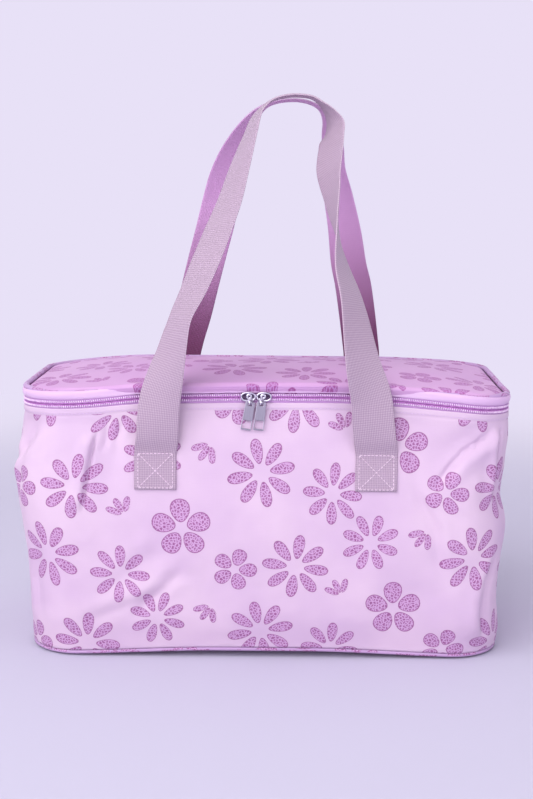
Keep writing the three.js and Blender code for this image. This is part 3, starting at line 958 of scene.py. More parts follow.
@dataclass(frozen=True)
class FlowerPrint:
    """Repeat of daisies, blossoms and leaf sprigs, half dropped from column to column."""

    width: float = 196.0
    drop: float = 152.0
    motifs: tuple[tuple[MotifKind, float, float, float, float], ...] = (
        (MotifKind.DAISY, 30, 34, 12, 1.0),
        (MotifKind.DAISY, 96, 16, 40, 0.9),
        (MotifKind.DAISY, 62, 100, -8, 1.0),
        (MotifKind.BLOSSOM, 155, 60, 20, 0.98),
        (MotifKind.DAISY, 130, 124, 25, 0.86),
        (MotifKind.BLOSSOM, 6, 97, 70, 0.76),
        (MotifKind.SPRIG, 106, 72, 118, 0.6),
        (MotifKind.SPRIG, 181, 136, 235, 0.62),
    )
    plump: float = 0.22
    pebbles: float = 0.36

    def new_group(self, name: str, inputs: Sequence[str], outputs: Sequence[str]) -> Tree:
        """Makes an empty node group.

        Args:
            name: name of the group.
            inputs: its inputs, numbers but for Cloth and Centre, which are vectors.
            outputs: its outputs, which are numbers.

        Returns:
            The group.
        """
        group = bpy.data.node_groups.new(name, "ShaderNodeTree")
        for label in inputs:
            kind = "NodeSocketVector" if label in ("Cloth", "Centre") else "NodeSocketFloat"
            group.interface.new_socket(name=label, in_out="INPUT", socket_type=kind)
        for label in outputs:
            group.interface.new_socket(name=label, in_out="OUTPUT", socket_type="NodeSocketFloat")
        return group

    def motif_group(self) -> Tree:
        """Node group that measures how far a place is from the petals of one motif.

        Returns:
            The group, whose output is below 1 inside a petal.
        """
        inputs = ("Cloth", "Centre", "Turn", "Petals", "Half length", "Half width", "Reach", "Spread")
        group = self.new_group("printed_motif", inputs, ["Field"])
        bench = Bench(group)
        given = bench.add("NodeGroupInput").outputs
        x, y = bench.split(bench.vector("SUBTRACT", given["Cloth"], given["Centre"]))
        column = bench.math("ROUND", bench.math("DIVIDE", x, self.width))
        x = bench.scaled(column, -self.width, x)
        y = bench.scaled(column, -self.drop / 2, y)
        y = bench.scaled(bench.math("ROUND", bench.math("DIVIDE", y, self.drop)), -self.drop, y)
        out = bench.math("SQRT", bench.math("ADD", bench.times(x, x), bench.times(y, y)))
        bearing = bench.math("SUBTRACT", bench.math("ARCTAN2", y, x), given["Turn"])
        bearing = bench.math("WRAP", bearing, math.pi, -math.pi)
        half = bench.math("DIVIDE", math.pi, given["Petals"])
        slice_angle = bench.math("WRAP", bearing, half, bench.times(half, -1.0))
        along = bench.times(out, bench.math("COSINE", slice_angle))
        beside = bench.times(out, bench.math("SINE", slice_angle))
        length = bench.math("DIVIDE", bench.math("SUBTRACT", along, given["Reach"]), given["Half length"])
        plump = bench.times(given["Half width"], bench.scaled(length, self.plump, 1.0))
        width = bench.math("DIVIDE", beside, plump)
        petal = bench.math("ADD", bench.times(length, length), bench.times(width, width))
        outside = bench.math("GREATER_THAN", bench.math("ABSOLUTE", bearing), given["Spread"])
        bench.add("NodeGroupOutput", {0: bench.scaled(outside, 9.0, petal)})
        return group

    def group(self) -> Tree:
        """Node group of the whole print.

        Returns:
            The group, with outputs for the petals and for their pale lace.
        """
        motif = self.motif_group()
        group = self.new_group("flower_print", ["Cloth"], ["Petal", "Lace"])
        bench = Bench(group)
        cloth = bench.add("NodeGroupInput").outputs[0]
        fields = []
        for kind, x, y, turn, size in self.motifs:
            petals, length, width, reach, spread = kind.value
            given = {
                "Cloth": cloth, "Centre": (x, y, 0), "Turn": math.radians(turn), "Petals": petals,
                "Half length": length * size, "Half width": width * size, "Reach": reach * size, "Spread": spread,
            }
            fields.append(bench.add("ShaderNodeGroup", given, node_tree=motif).outputs[0])
        nearest = reduce(lambda first, second: bench.math("MINIMUM", first, second), fields)
        cells = bench.cells(cloth, self.pebbles, feature="DISTANCE_TO_EDGE", voronoi_dimensions="2D")
        specks = bench.ease(bench.noise(cloth, 0.4, 2.0, 0.6), 0.56, 0.62)
        lace = bench.math("MAXIMUM", bench.ease(cells, 0.21, 0.12), specks)
        inside = bench.ease(nearest, 0.86, 0.76)
        bench.add("NodeGroupOutput", {"Petal": bench.ease(nearest, 1.03, 0.93), "Lace": bench.times(lace, inside)})
        return group


class Finish(ABC):
    """A way of dyeing a material."""

    @abstractmethod
    def dye(self, cloth: Cloth) -> None:
        """Gives a material its colour, gloss and grain."""


@dataclass(frozen=True)
class SatinFinish(Finish):
    """Satin cloth of the body, with or without its printed flowers."""

    printed: Tree | None = None
    ground: str = "ccb4cd"
    warm: str = "d7c1d3"
    petal: str = "8f4a86"
    lace: str = "cfa8d4"
    thread: str = "c894d8"
    pitch: float = 1.15
    print_high: float = 1e4
    shift: tuple[float, float] = (0.0, 0.0)

    def dye(self, cloth: Cloth) -> None:
        """Weaves the satin, clouds its two colours and prints it.

        Args:
            cloth: the material.
        """
        bench, where = cloth.bench, cloth.coordinates()
        u, v = bench.split(where)
        cloudy = bench.ease(bench.noise(where, 0.012, 2.0), 0.3, 0.7)
        colour = bench.blend(cloudy, tint(self.ground), tint(self.warm))
        weave = bench.times(bench.wave(u, self.pitch), bench.wave(v, self.pitch))
        slub = bench.noise(bench.join(bench.times(u, 0.12), v), 0.9, 2.0)
        grain = bench.scaled(slub, 0.6, bench.times(weave, 0.4))
        colour = bench.blend(bench.times(grain, 0.22), colour, tint(self.thread))
        if self.printed is not None:
            moved = bench.vector("ADD", where, (*self.shift, 0.0))
            wobble = bench.join(bench.scaled(bench.noise(where, 0.8, 2.0), 1.2, -0.6), 0.0)
            flowers = bench.add("ShaderNodeGroup", {0: bench.vector("ADD", moved, wobble)}, node_tree=self.printed)
            ink = bench.blend(bench.times(flowers.outputs["Lace"], 0.8), tint(self.petal), tint(self.lace))
            petal = bench.times(flowers.outputs["Petal"], bench.ease(v, self.print_high + 0.4, self.print_high - 0.4))
            colour = bench.blend(bench.times(petal, bench.scaled(slub, -0.16, 0.98)), colour, ink)
        cloth.set(Base_Color=colour, Roughness=bench.scaled(slub, 0.14, 0.5))
        cloth.set(Specular_IOR_Level=0.32, Sheen_Weight=0.05, Sheen_Roughness=0.4)
        cloth.raise_by(grain, 0.35, 0.25)


@dataclass(frozen=True)
class WebbingFinish(Finish):
    """Woven webbing: ribs along and across, with painted shade on one face, darker towards the bottom."""

    light: str = "bda9bb"
    dark: str = "967f97"
    knot: str = "d6c4cc"
    # inner and deep: painted shade of the inner face, lilac high up and deep maroon towards the bottom
    inner: str = "d2a6d2"
    deep: str = "64284f"
    shaded: bool = False

    def dye(self, cloth: Cloth) -> None:
        """Weaves the ribs, and paints shade on the inner face where it is wanted: lilac high up, deep maroon towards
        the bottom.

        Args:
            cloth: the material.
        """
        bench, where = cloth.bench, cloth.coordinates()
        u, v = bench.split(where)
        ribs, lines = bench.wave(v, 1.55), bench.wave(u, 2.1)
        knot = bench.times(ribs, lines)
        grain = bench.scaled(lines, 0.35, bench.times(ribs, 0.65))
        fuzz = bench.noise(where, 0.9, 4.0, 0.65)
        share = bench.scaled(fuzz, 0.5, bench.times(grain, 0.55))
        colour = bench.blend(bench.ease(share, 0.15, 0.9), tint(self.dark), tint(self.light))
        colour = bench.blend(bench.times(knot, 0.18), colour, tint(self.knot))
        # Painted shade: the inner face turns from lilac to deep maroon towards the bottom of the strap.
        if self.shaded:
            inner = bench.blend(bench.mark("low_end"), tint(self.inner), tint(self.deep))
            inner = bench.blend(bench.times(grain, 0.2), inner, tint(self.dark))
            colour = bench.blend(bench.mark("inner_face"), colour, inner)
        cloth.set(Base_Color=colour, Roughness=bench.scaled(fuzz, 0.2, 0.62))
        cloth.set(Specular_IOR_Level=0.2, Sheen_Weight=0.12, Sheen_Roughness=0.5)
        cloth.raise_by(share, 0.7, 0.35)


@dataclass(frozen=True)
class TapeFinish(Finish):
    """Closely woven narrow tape."""

    ground: str = "c199cc"
    thread: str = "a87bb4"

    def dye(self, cloth: Cloth) -> None:
        """Weaves the tape's slanting threads.

        Args:
            cloth: the material.
        """
        bench, where = cloth.bench, cloth.coordinates()
        herring = bench.wave(bench.math("ADD", *bench.split(where)), 0.9)
        fuzz = bench.noise(where, 1.4)
        share = bench.scaled(fuzz, 0.5, bench.times(herring, 0.5))
        cloth.set(Base_Color=bench.blend(share, tint(self.thread), tint(self.ground)))
        cloth.set(Roughness=bench.scaled(fuzz, 0.2, 0.6), Specular_IOR_Level=0.3, Sheen_Weight=0.2)
        cloth.raise_by(share, 0.5, 0.2)


@dataclass(frozen=True)
class MouldedFinish(Finish):
    """Smooth surface with a faint cloudiness: nylon teeth, thread, board or plated metal."""

    light: str
    dark: str
    roughness: float
    gloss: float
    scale: float = 400.0
    metal: float = 0.0
    relief: float = 0.05

    def dye(self, cloth: Cloth) -> None:
        """Clouds the surface.

        Args:
            cloth: the material.
        """
        bench = cloth.bench
        cloudy = bench.noise(cloth.place(), self.scale)
        cloth.set(Base_Color=bench.blend(bench.ease(cloudy, 0.3, 0.7), tint(self.dark), tint(self.light)))
        cloth.set(Roughness=bench.scaled(cloudy, 0.16, self.roughness - 0.08))
        cloth.set(Specular_IOR_Level=self.gloss, Metallic=self.metal)
        cloth.raise_by(cloudy, 0.4, self.relief)


@dataclass(frozen=True)
class BrushedFinish(Finish):
    """Metal brushed along one direction, with fine scratches, and a painted highlight on the faces that turn to the
    left.
    """

    light: str = "b5b0c0"
    dark: str = "827b8e"
    # edge: near-white colour of the faces that turn to the left, a painted highlight
    edge: str = "f8f4fc"
    roughness: float = 0.3
    stretch: Spot = (2600.0, 2600.0, 60.0)

    def dye(self, cloth: Cloth) -> None:
        """Brushes the metal, and polishes the faces that turn to the left, also painting them near white as a
        highlight.

        Args:
            cloth: the material.
        """
        bench = cloth.bench
        scratch = bench.noise(bench.vector("MULTIPLY", cloth.place(), self.stretch), 1.0, 3.0, 0.6)
        smudge = bench.noise(cloth.place(), 120.0, 2.0)
        across, _ = bench.split(bench.add("ShaderNodeTexCoord").outputs["Normal"])
        # Faces that turn to the left: lower roughness for their polish, and a near-white painted highlight in the
        # colour.
        polish_and_highlight = bench.ease(across, -0.12, -0.26)
        brushed = bench.blend(scratch, tint(self.dark), tint(self.light))
        matt = bench.scaled(smudge, 0.2, self.roughness - 0.1)
        cloth.set(Base_Color=bench.blend(polish_and_highlight, brushed, tint(self.edge)), Metallic=1.0)
        cloth.set(Roughness=bench.times(matt, bench.scaled(polish_and_highlight, -0.6, 1.0)))
        cloth.raise_by(scratch, 0.25, 0.03)


@dataclass(frozen=True)
class FoamFinish(Finish):
    """Closed-cell foam."""

    light: str = "f4f1f6"
    dark: str = "dcd6e0"

    def dye(self, cloth: Cloth) -> None:
        """Pits the foam with its cells.

        Args:
            cloth: the material.
        """
        bench = cloth.bench
        pits = bench.cells(cloth.place(), 900.0, feature="F1")
        cloth.set(Base_Color=bench.blend(bench.ease(pits, 0.1, 0.7), tint(self.dark), tint(self.light)))
        cloth.set(Roughness=bench.scaled(pits, 0.1, 0.8), Specular_IOR_Level=0.25)
        cloth.raise_by(pits, 0.5, 0.3)


@dataclass(frozen=True)
class LiningFinish(Finish):
    """Wipe-clean silvery lining film with soft wrinkles and a heat-set grain."""

    light: str = "dedfe6"
    dark: str = "c9ccd5"

    def dye(self, cloth: Cloth) -> None:
        """Wrinkles the film and sets its grain.

        Args:
            cloth: the material.
        """
        bench, where = cloth.bench, cloth.coordinates()
        crumple = bench.noise(where, 0.13, 5.0, 0.62)
        grain = bench.times(*(bench.wave(line, 4.0) for line in bench.split(where)))
        cloth.set(Base_Color=bench.blend(bench.ease(crumple, 0.3, 0.7), tint(self.dark), tint(self.light)))
        cloth.set(Metallic=0.25, Roughness=bench.scaled(crumple, 0.2, 0.3))
        cloth.raise_by(bench.scaled(grain, 0.12, crumple), 0.6, 1.6)


@dataclass(frozen=True)
class Stuff:
    """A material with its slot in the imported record."""

    material: Material
    slot: Slot


class Wardrobe:
    """Every stuff of the bag, made once."""

    def __init__(self) -> None:
        """Makes the print and the materials."""
        printed = FlowerPrint().group()
        satin, webbing, tape, moulded = SatinFinish, WebbingFinish, TapeFinish, MouldedFinish
        # Lid satin: a darker, more saturated copy of the wall's. The saturation is the cloth's own; the darker tone is
        # painted shade of the lid's top.
        lid = satin(printed, "c89cca", "cea5ce", "98488c", "c08fca", shift=(60.0, 88.0))
        # Rear webbing, with painted shade on its inner face, darker towards the bottom.
        rear = webbing("c4a8c8", "a082a8", shaded=True)
        self.wall = self.stuff("printed_satin_wall", Slot.PRINT, satin(printed, print_high=229.8, shift=(34.0, 12.0)))
        self.lid = self.stuff("printed_satin_lid", Slot.PRINT, lid)
        piping = satin(printed, "b494be", "bd9fc6", shift=(10.0, 30.0))
        self.piping = self.stuff("printed_satin_piping", Slot.PRINT, piping)
        self.plain = self.stuff("plain_satin", Slot.PLAIN, satin(None, "d6b4da", "dfc1e1"))
        self.front_webbing = self.stuff("woven_webbing", Slot.WEBBING, webbing())
        self.rear_webbing = self.stuff("woven_webbing_shaded", Slot.WEBBING, rear)
        self.tape = self.stuff("zip_tape_weave", Slot.TAPE, tape())
        self.edging = self.stuff("edging_tape_weave", Slot.TAPE, tape("dcbce4", "c49fd0"))
        self.teeth = self.stuff("nylon_teeth", Slot.COIL, moulded("f1dcf3", "d8b4de", 0.4, 0.4))
        # Zip core: a real nylon core, coloured darker than the teeth as painted shade of the recess between the tooth
        # rows.
        self.core = self.stuff("nylon_core", Slot.COIL, moulded("b97cc0", "a266ab", 0.5, 0.3))
        pale = moulded("f6e6f2", "e2c4dd", 0.6, 0.3, 1500.0, 0.0, 0.1)
        self.thread = self.stuff("pale_thread", Slot.THREAD, pale)
        hem = moulded("d8bbe2", "c8a8d4", 0.6, 0.2, 1500.0, 0.0, 0.1)
        self.hem_thread = self.stuff("hem_thread", Slot.THREAD, hem)
        chrome = moulded("dad7e2", "b9b4c6", 0.12, 0.5, 300.0, 1.0, 0.01)
        self.chrome = self.stuff("bright_chrome", Slot.SLIDER, chrome)
        # Slider face inside the rim: a painted dark reflection of the chrome body.
        dark = moulded("5a4a64", "2c2036", 0.3, 0.5, 500.0, 1.0, 0.01)
        self.dark_metal = self.stuff("dark_metal", Slot.SLIDER, dark)
        self.steel = self.stuff("brushed_pull", Slot.SLIDER, BrushedFinish())
        self.pull_steel = Stuff(self.steel.material, Slot.PULLER)
        board = moulded("ded9d3", "c8c2bb", 0.75, 0.3, 700.0, 0.0, 0.1)
        self.board = self.stuff("stiff_board", Slot.BOARD, board)
        self.foam = self.stuff("white_foam", Slot.FOAM, FoamFinish())
        self.lining = self.stuff("silver_lining", Slot.LINING, LiningFinish())

    @staticmethod
    def stuff(name: str, slot: Slot, finish: Finish) -> Stuff:
        """Makes one stuff.

        Args:
            name: name of the material.
            slot: its slot in the record.
            finish: what dyes it.

        Returns:
            The stuff.
        """
        cloth = Cloth(name)
        finish.dye(cloth)
        return Stuff(cloth.material, slot)


class Maker:
    """Dresses pieces and hangs them on the bodies of the frame."""

    def __init__(self) -> None:
        """Starts with a full wardrobe."""
        self.wardrobe = Wardrobe()

    def dress(self, piece: Piece, stuff: Stuff, *nodes: str) -> Piece:
        """Gives a piece its material, and hides the nodes of the frame that it stands for.

        Args:
            piece: the piece.
            stuff: its material and slot.
            nodes: nodes of the frame that it replaces.

        Returns:
            The same piece.
        """
        piece.data.materials.clear()
        piece.data.materials.append(stuff.material)
        if nodes:
            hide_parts(*nodes)
        LOG.info("%s: %d faces", piece.name, len(piece.data.polygons))
        return piece

    def hang(self, piece: Piece, stuff: Stuff, body: str, *nodes: str) -> Piece:
        """Dresses a piece that moves with one body."""
        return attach(self.dress(piece, stuff, *nodes), body)


@dataclass
class Sewn:
    """A part of the bag, with the soft body that it follows and who dresses it."""

    body: Body
    maker: Maker


@dataclass
class Wall(Sewn):
    """Printed wall with its hem, padding and lining."""

    low: float = 4.2
    high: float = 233.2
    lip: float = 236.2
    thickness: float = 1.2
    columns: int = 860
    rows: int = 146
    hem: float = 230.6
    folds: tuple[Crease, ...] = (
        Crease(((-150, 216), (-154, 190), (-157, 165), (-161, 136)), 4.4, 1.7, 3.4, -6.0, 6.5, 0.2),
        Crease(((-143, 226), (-141, 208), (-144, 190)), 1.6, 3.0, 1.2, 6.0, 4.0, 0.4),
        Crease(((-128, 226), (-130, 212), (-134, 196)), 1.4, 3.4, 1.0, 6.0, 4.0, 0.4),
        Crease(((-128, 32), (-98, 62), (-70, 90)), 2.2, 6.0, 1.8, 12.0, 9.0),
        Crease(((-176, 30), (-120, 52), (-84, 66)), 1.4, 6.0, 1.2, 10.0, 9.0),
        Crease(((-150, 60), (-110, 96), (-82, 108)), 1.0, 8.0, 0.9, 12.0, 10.0),
        Crease(
            ((210, 229), (204, 218), (193, 208), (180, 199), (170, 186), (162, 172), (156, 158)),
            3.6, 3.4, 2.6, 8.5, 7.5, 0.3,
        ),
        Crease(((222, 226), (217, 206), (220, 180), (221, 150)), 5.4, 2.8, 3.6, -6.5, 6.0, 0.2),
        Crease(((134, 176), (148, 146), (160, 100), (172, 70)), 2.6, 6.0, 2.0, 9.0, 9.0, 0.3),
        Crease(((226, 104), (212, 72), (207, 42), (210, 10)), 4.6, 6.0, 3.6, -9.0, 9.0, 0.25),
        Crease(((-232, 214), (-224, 186), (-232, 150)), 2.6, 6.0, 2.6, -9.0, 8.0),
        Crease(((-206, 226), (-222, 200), (-250, 176)), 3.4, 7.0, 2.4, 9.0, 8.0),
        Crease(((-212, 110), (-220, 70), (-214, 22)), 2.4, 7.0, 2.0, -9.0, 9.0),
        Crease(((250, 200), (286, 160), (330, 140)), 4.0, 9.0, 3.4, 12.0, 11.0),
        Crease(((262, 60), (306, 84), (352, 70)), 3.4, 9.0, 2.8, -12.0, 11.0),
        Crease(((-268, 60), (-312, 92), (-360, 84)), 3.0, 9.0, 2.6, 12.0, 11.0),
        Crease(((430, 214), (446, 176), (452, 130)), 3.6, 7.0, 2.8, 9.0, 9.0),
        Crease(((-430, 216), (-452, 180), (-462, 140)), 3.4, 7.0, 2.6, -9.0, 9.0),
        Crease(((520, 40), (556, 78), (590, 100)), 2.2, 8.0, 1.8, 10.0, 10.0),
        Crease(((-560, 150), (-520, 96), (-500, 40)), 2.0, 8.0, 1.6, 10.0, 10.0),
    )
    dents: tuple[Dent, ...] = (
        Dent(-136, 205, 16, 34, 3.4, 6),
        Dent(-226, 216, 22, 15, 4.5, 20),
        Dent(-214, 168, 26, 30, -2.4),
        Dent(186, 158, 20, 26, -3.6, 20),
        Dent(178, 209, 13, 22, 3.6, -48),
        Dent(186, 44, 24, 34, -2.6),
        Dent(150, 196, 26, 26, 2.2, 30),
        Dent(0, 120, 110, 60, -1.6),
        Dent(316, 150, 44, 40, 5.0),
        Dent(-316, 100, 44, 46, 2.0),
        Dent(633, 110, 150, 60, -1.2),
    )
    ripples: tuple[Ripple, ...] = (Ripple(5, 0.75, 55, 150), Ripple(9, 0.16, 14, 34))
    puckers: Ripple = Ripple(21, 0.5, 18, 60)
    strap_middle: float = 100.0
    stitch_inset: float = -0.5
    stitch_height: float = 231.4
    stitch_pitch: float = 3.3
    stitch: Spot = (2.3, 0.5, 0.62)

    def push(self, along: Array, height: Array) -> Array:
        """Outward push of every fold, hollow and ripple of the wall.

        Args:
            along: distances round the bag.
            height: heights on the wall.

        Returns:
            The push at each place.
        """
        total = np.zeros(np.broadcast(along, height).shape)
        for shape in (*self.ripples, *self.folds, *self.dents):
            total += shape.push(along, height)
        held = smooth(self.low, self.low + 20, height) * (1 - smooth(self.hem - 9, self.hem + 2, height))
        return total * held * (1 - self.pinned(along, height))

    def pinned(self, along: Array, height: Array) -> Array:
        """1 where a strap end is sewn to the wall, easing to 0 around it.

        Args:
            along: distances round the bag.
            height: heights on the wall.

        Returns:
            The share at each place.
        """
        half = self.body.outline.length / 2
        gap = np.abs(np.abs(np.mod(along + half / 2, half) - half / 2) - self.strap_middle)
        return smooth(138, 154, height) * (1 - smooth(197, 213, height)) * (1 - smooth(18, 34, gap))

    def soft_push(self, along: Array, height: Array) -> Array:
        """The wall's push as the padding takes it: every hollow, and a third of each swelling."""
        push = np.min([self.push(along + a, height + h) for a, h in ((0, 0), (-4, 0), (4, 0), (0, -4), (0, 4))], axis=0)
        return np.minimum(push, 0.35 * push)

    def liner_push(self, along: Array, height: Array) -> Array:
        """Push of the lining: the padding's, with small inward puckers."""
        held = smooth(10, 30, height) * (1 - smooth(205, 228, height))
        return self.soft_push(along, height) - np.maximum(self.puckers.push(along, height), 0) * held

    def section(self) -> Array:
        """Inset and height of each corner of the wall's section.

        Returns:
            The section, from the bottom of the outside round to the inside.
        """
        heights = np.concatenate([np.linspace(self.low, self.high, self.rows), np.linspace(self.high, self.lip, 6)[1:]])
        hem = -0.75 * smooth(self.hem - 0.4, self.hem + 0.5, heights)
        groove = 0.45 * np.exp(-(((heights - self.hem) / 0.7) ** 2))
        outside = np.stack([hem + groove, heights], axis=1)
        outside[[0, -1], 0] += 0.3
        lip = np.array([(-0.2, self.lip), (-0.2, self.high + 0.5), (0.2, self.high)])
        return np.concatenate([outside, lip, upright(self.thickness, np.linspace(self.high, self.low, 30))])

    def build(self) -> None:
        """Builds the wall and what lines it."""
        hang, stuffs, body = self.maker.hang, self.maker.wardrobe, self.body
        wall = body.ring("wall_cloth", self.section(), self.columns, self.push)
        hang(wall, stuffs.wall, "root", "outer_wall")
        self.hem_stitches()
        padding = body.ring("wall_padding", layer_section(1.6, 6.4, 4.7, 230.2, 56), 420, self.soft_push)
        hang(padding, stuffs.foam, "root", "wall_foam")
        liner = body.ring("wall_liner", layer_section(6.8, 7.6, 9.8, 230.2, 60), 480, self.liner_push)
        hang(liner, stuffs.lining, "root", "wall_lining")
        binding = body.ring("mouth_edging", bar_section(1.5, 7.6, 230.7, 232.9, 0.6))
        hang(binding, stuffs.edging, "root", "mouth_binding")

    def hem_stitches(self) -> None:
        """Sews the row of thread dashes along the hem."""
        half = self.body.outline.length / 2
        along = np.arange(-half + 2, half, self.stitch_pitch)
        places = self.body.place(along, self.stitch_inset, self.stitch_height, self.push)
        row = scatter("hem_stitches", rounded_bar(*self.stitch), places, self.body.frames(along))
        self.maker.hang(row, self.maker.wardrobe.hem_thread, "root")


@dataclass
class Base(Sewn):
    """Piping, cloth, stiffener and padding of the base."""

    def build(self) -> None:
        """Builds the base."""
        hang, stuffs, body = self.maker.hang, self.maker.wardrobe, self.body
        piping = body.ring("base_piping", tube_section(1.8, 2.1, 1.8), 400, rolled=True)
        hang(piping, stuffs.piping, "root", "base_welt")
        hang(body.plate("base_cloth", 3.9, 0.0, 1.4), stuffs.wall, "root", "base_panel")
        hang(body.plate("base_stiffener", 3.9, 1.7, 4.2), stuffs.board, "root", "base_board")
        foam = hang(body.plate("base_padding", 6.8, 4.5, 9.5), stuffs.foam, "root", "base_foam")
        liner = body.plate("base_liner", 7.9, 9.8, 10.6, swell=self.puckers)
        hang(liner, stuffs.lining, "root", "base_lining")

    @staticmethod
    def puckers(x: Array, y: Array) -> Array:
        """Soft waves of the loose base lining."""
        held = smooth(205, 150, np.abs(x)) * smooth(98, 60, np.abs(y))
        return held * (0.5 + 0.5 * np.sin(x / 23 + 1.4 * np.sin(y / 31))) * 0.9


@dataclass
class Zip(Sewn):
    """Both halves of the zip, and the cloth hinge behind."""

    pitch: float = 1.95
    middle: float = 240.2
    tape_reach: float = 6.7
    core_reach: float = 1.6
    teeth_from_middle: float = 2.1
    tape_start: float = 1.4
    core_start: float = 0.15
    teeth_inset: float = -0.25
    tooth: Spot = (2.1, 1.25, 1.9)
    tooth_lean: float = 0.16
    hinge_face: float = 113.2
    hinge_half: float = 164.6

    def build(self) -> None:
        """Builds the zip."""
        self.half("lower", "root", -1)
        self.half("upper", "lid", 1)
        self.hinge()

    def half(self, name: str, rides: str, side: int) -> None:
        """Builds one half of the zip.

        Args:
            name: lower or upper.
            rides: body that it moves with.
            side: -1 below the middle of the zip, 1 above.
        """
        hang, stuffs, body = self.maker.hang, self.maker.wardrobe, self.body
        low, high = sorted(self.middle + side * reach for reach in (self.tape_start, self.tape_reach))
        tape = body.strip(f"zip_tape_{name}", bar_section(0.05, 1.0, low, high))
        hang(tape, stuffs.tape, rides, f"{name}_zip_tape")
        # The core's darker purple is painted shade of the recess between the two rows of teeth.
        low, high = sorted(self.middle + side * reach for reach in (self.core_start, self.core_reach))
        core = body.strip(f"zip_core_{name}", bar_section(-0.4, 1.3, low, high, 0.5))
        hang(core, stuffs.core, rides)

        along = body.zip_stations(self.pitch)[1:-1]
        places = body.place(along, self.teeth_inset, self.middle + side * self.teeth_from_middle)
        ahead, out, up = np.moveaxis(body.frames(along), 1, 0)
        axes = np.stack([unit(up - self.tooth_lean * side * ahead), ahead, out], axis=1)
        teeth = scatter(f"zip_teeth_{name}", rounded_bar(*self.tooth), places, axes)
        hang(teeth, stuffs.teeth, rides, f"{name}_zip_coil")

    def hinge(self) -> None:
        """Builds the strip of cloth that the lid turns on."""
        low, high = self.middle - self.tape_reach, self.middle + self.tape_reach
        heights = np.linspace(low, high, 13)
        section = np.concatenate([upright(-1.2, heights), upright(-0.4, heights[::-1])])
        along = self.body.outline.length / 2 - np.linspace(-self.hinge_half, self.hinge_half, 84)
        strip = self.body.sweep("hinge_cloth", section, along)
        self.maker.dress(strip, self.maker.wardrobe.plain, "hinge_strip_lower", "hinge_strip_upper")
        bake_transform(strip)


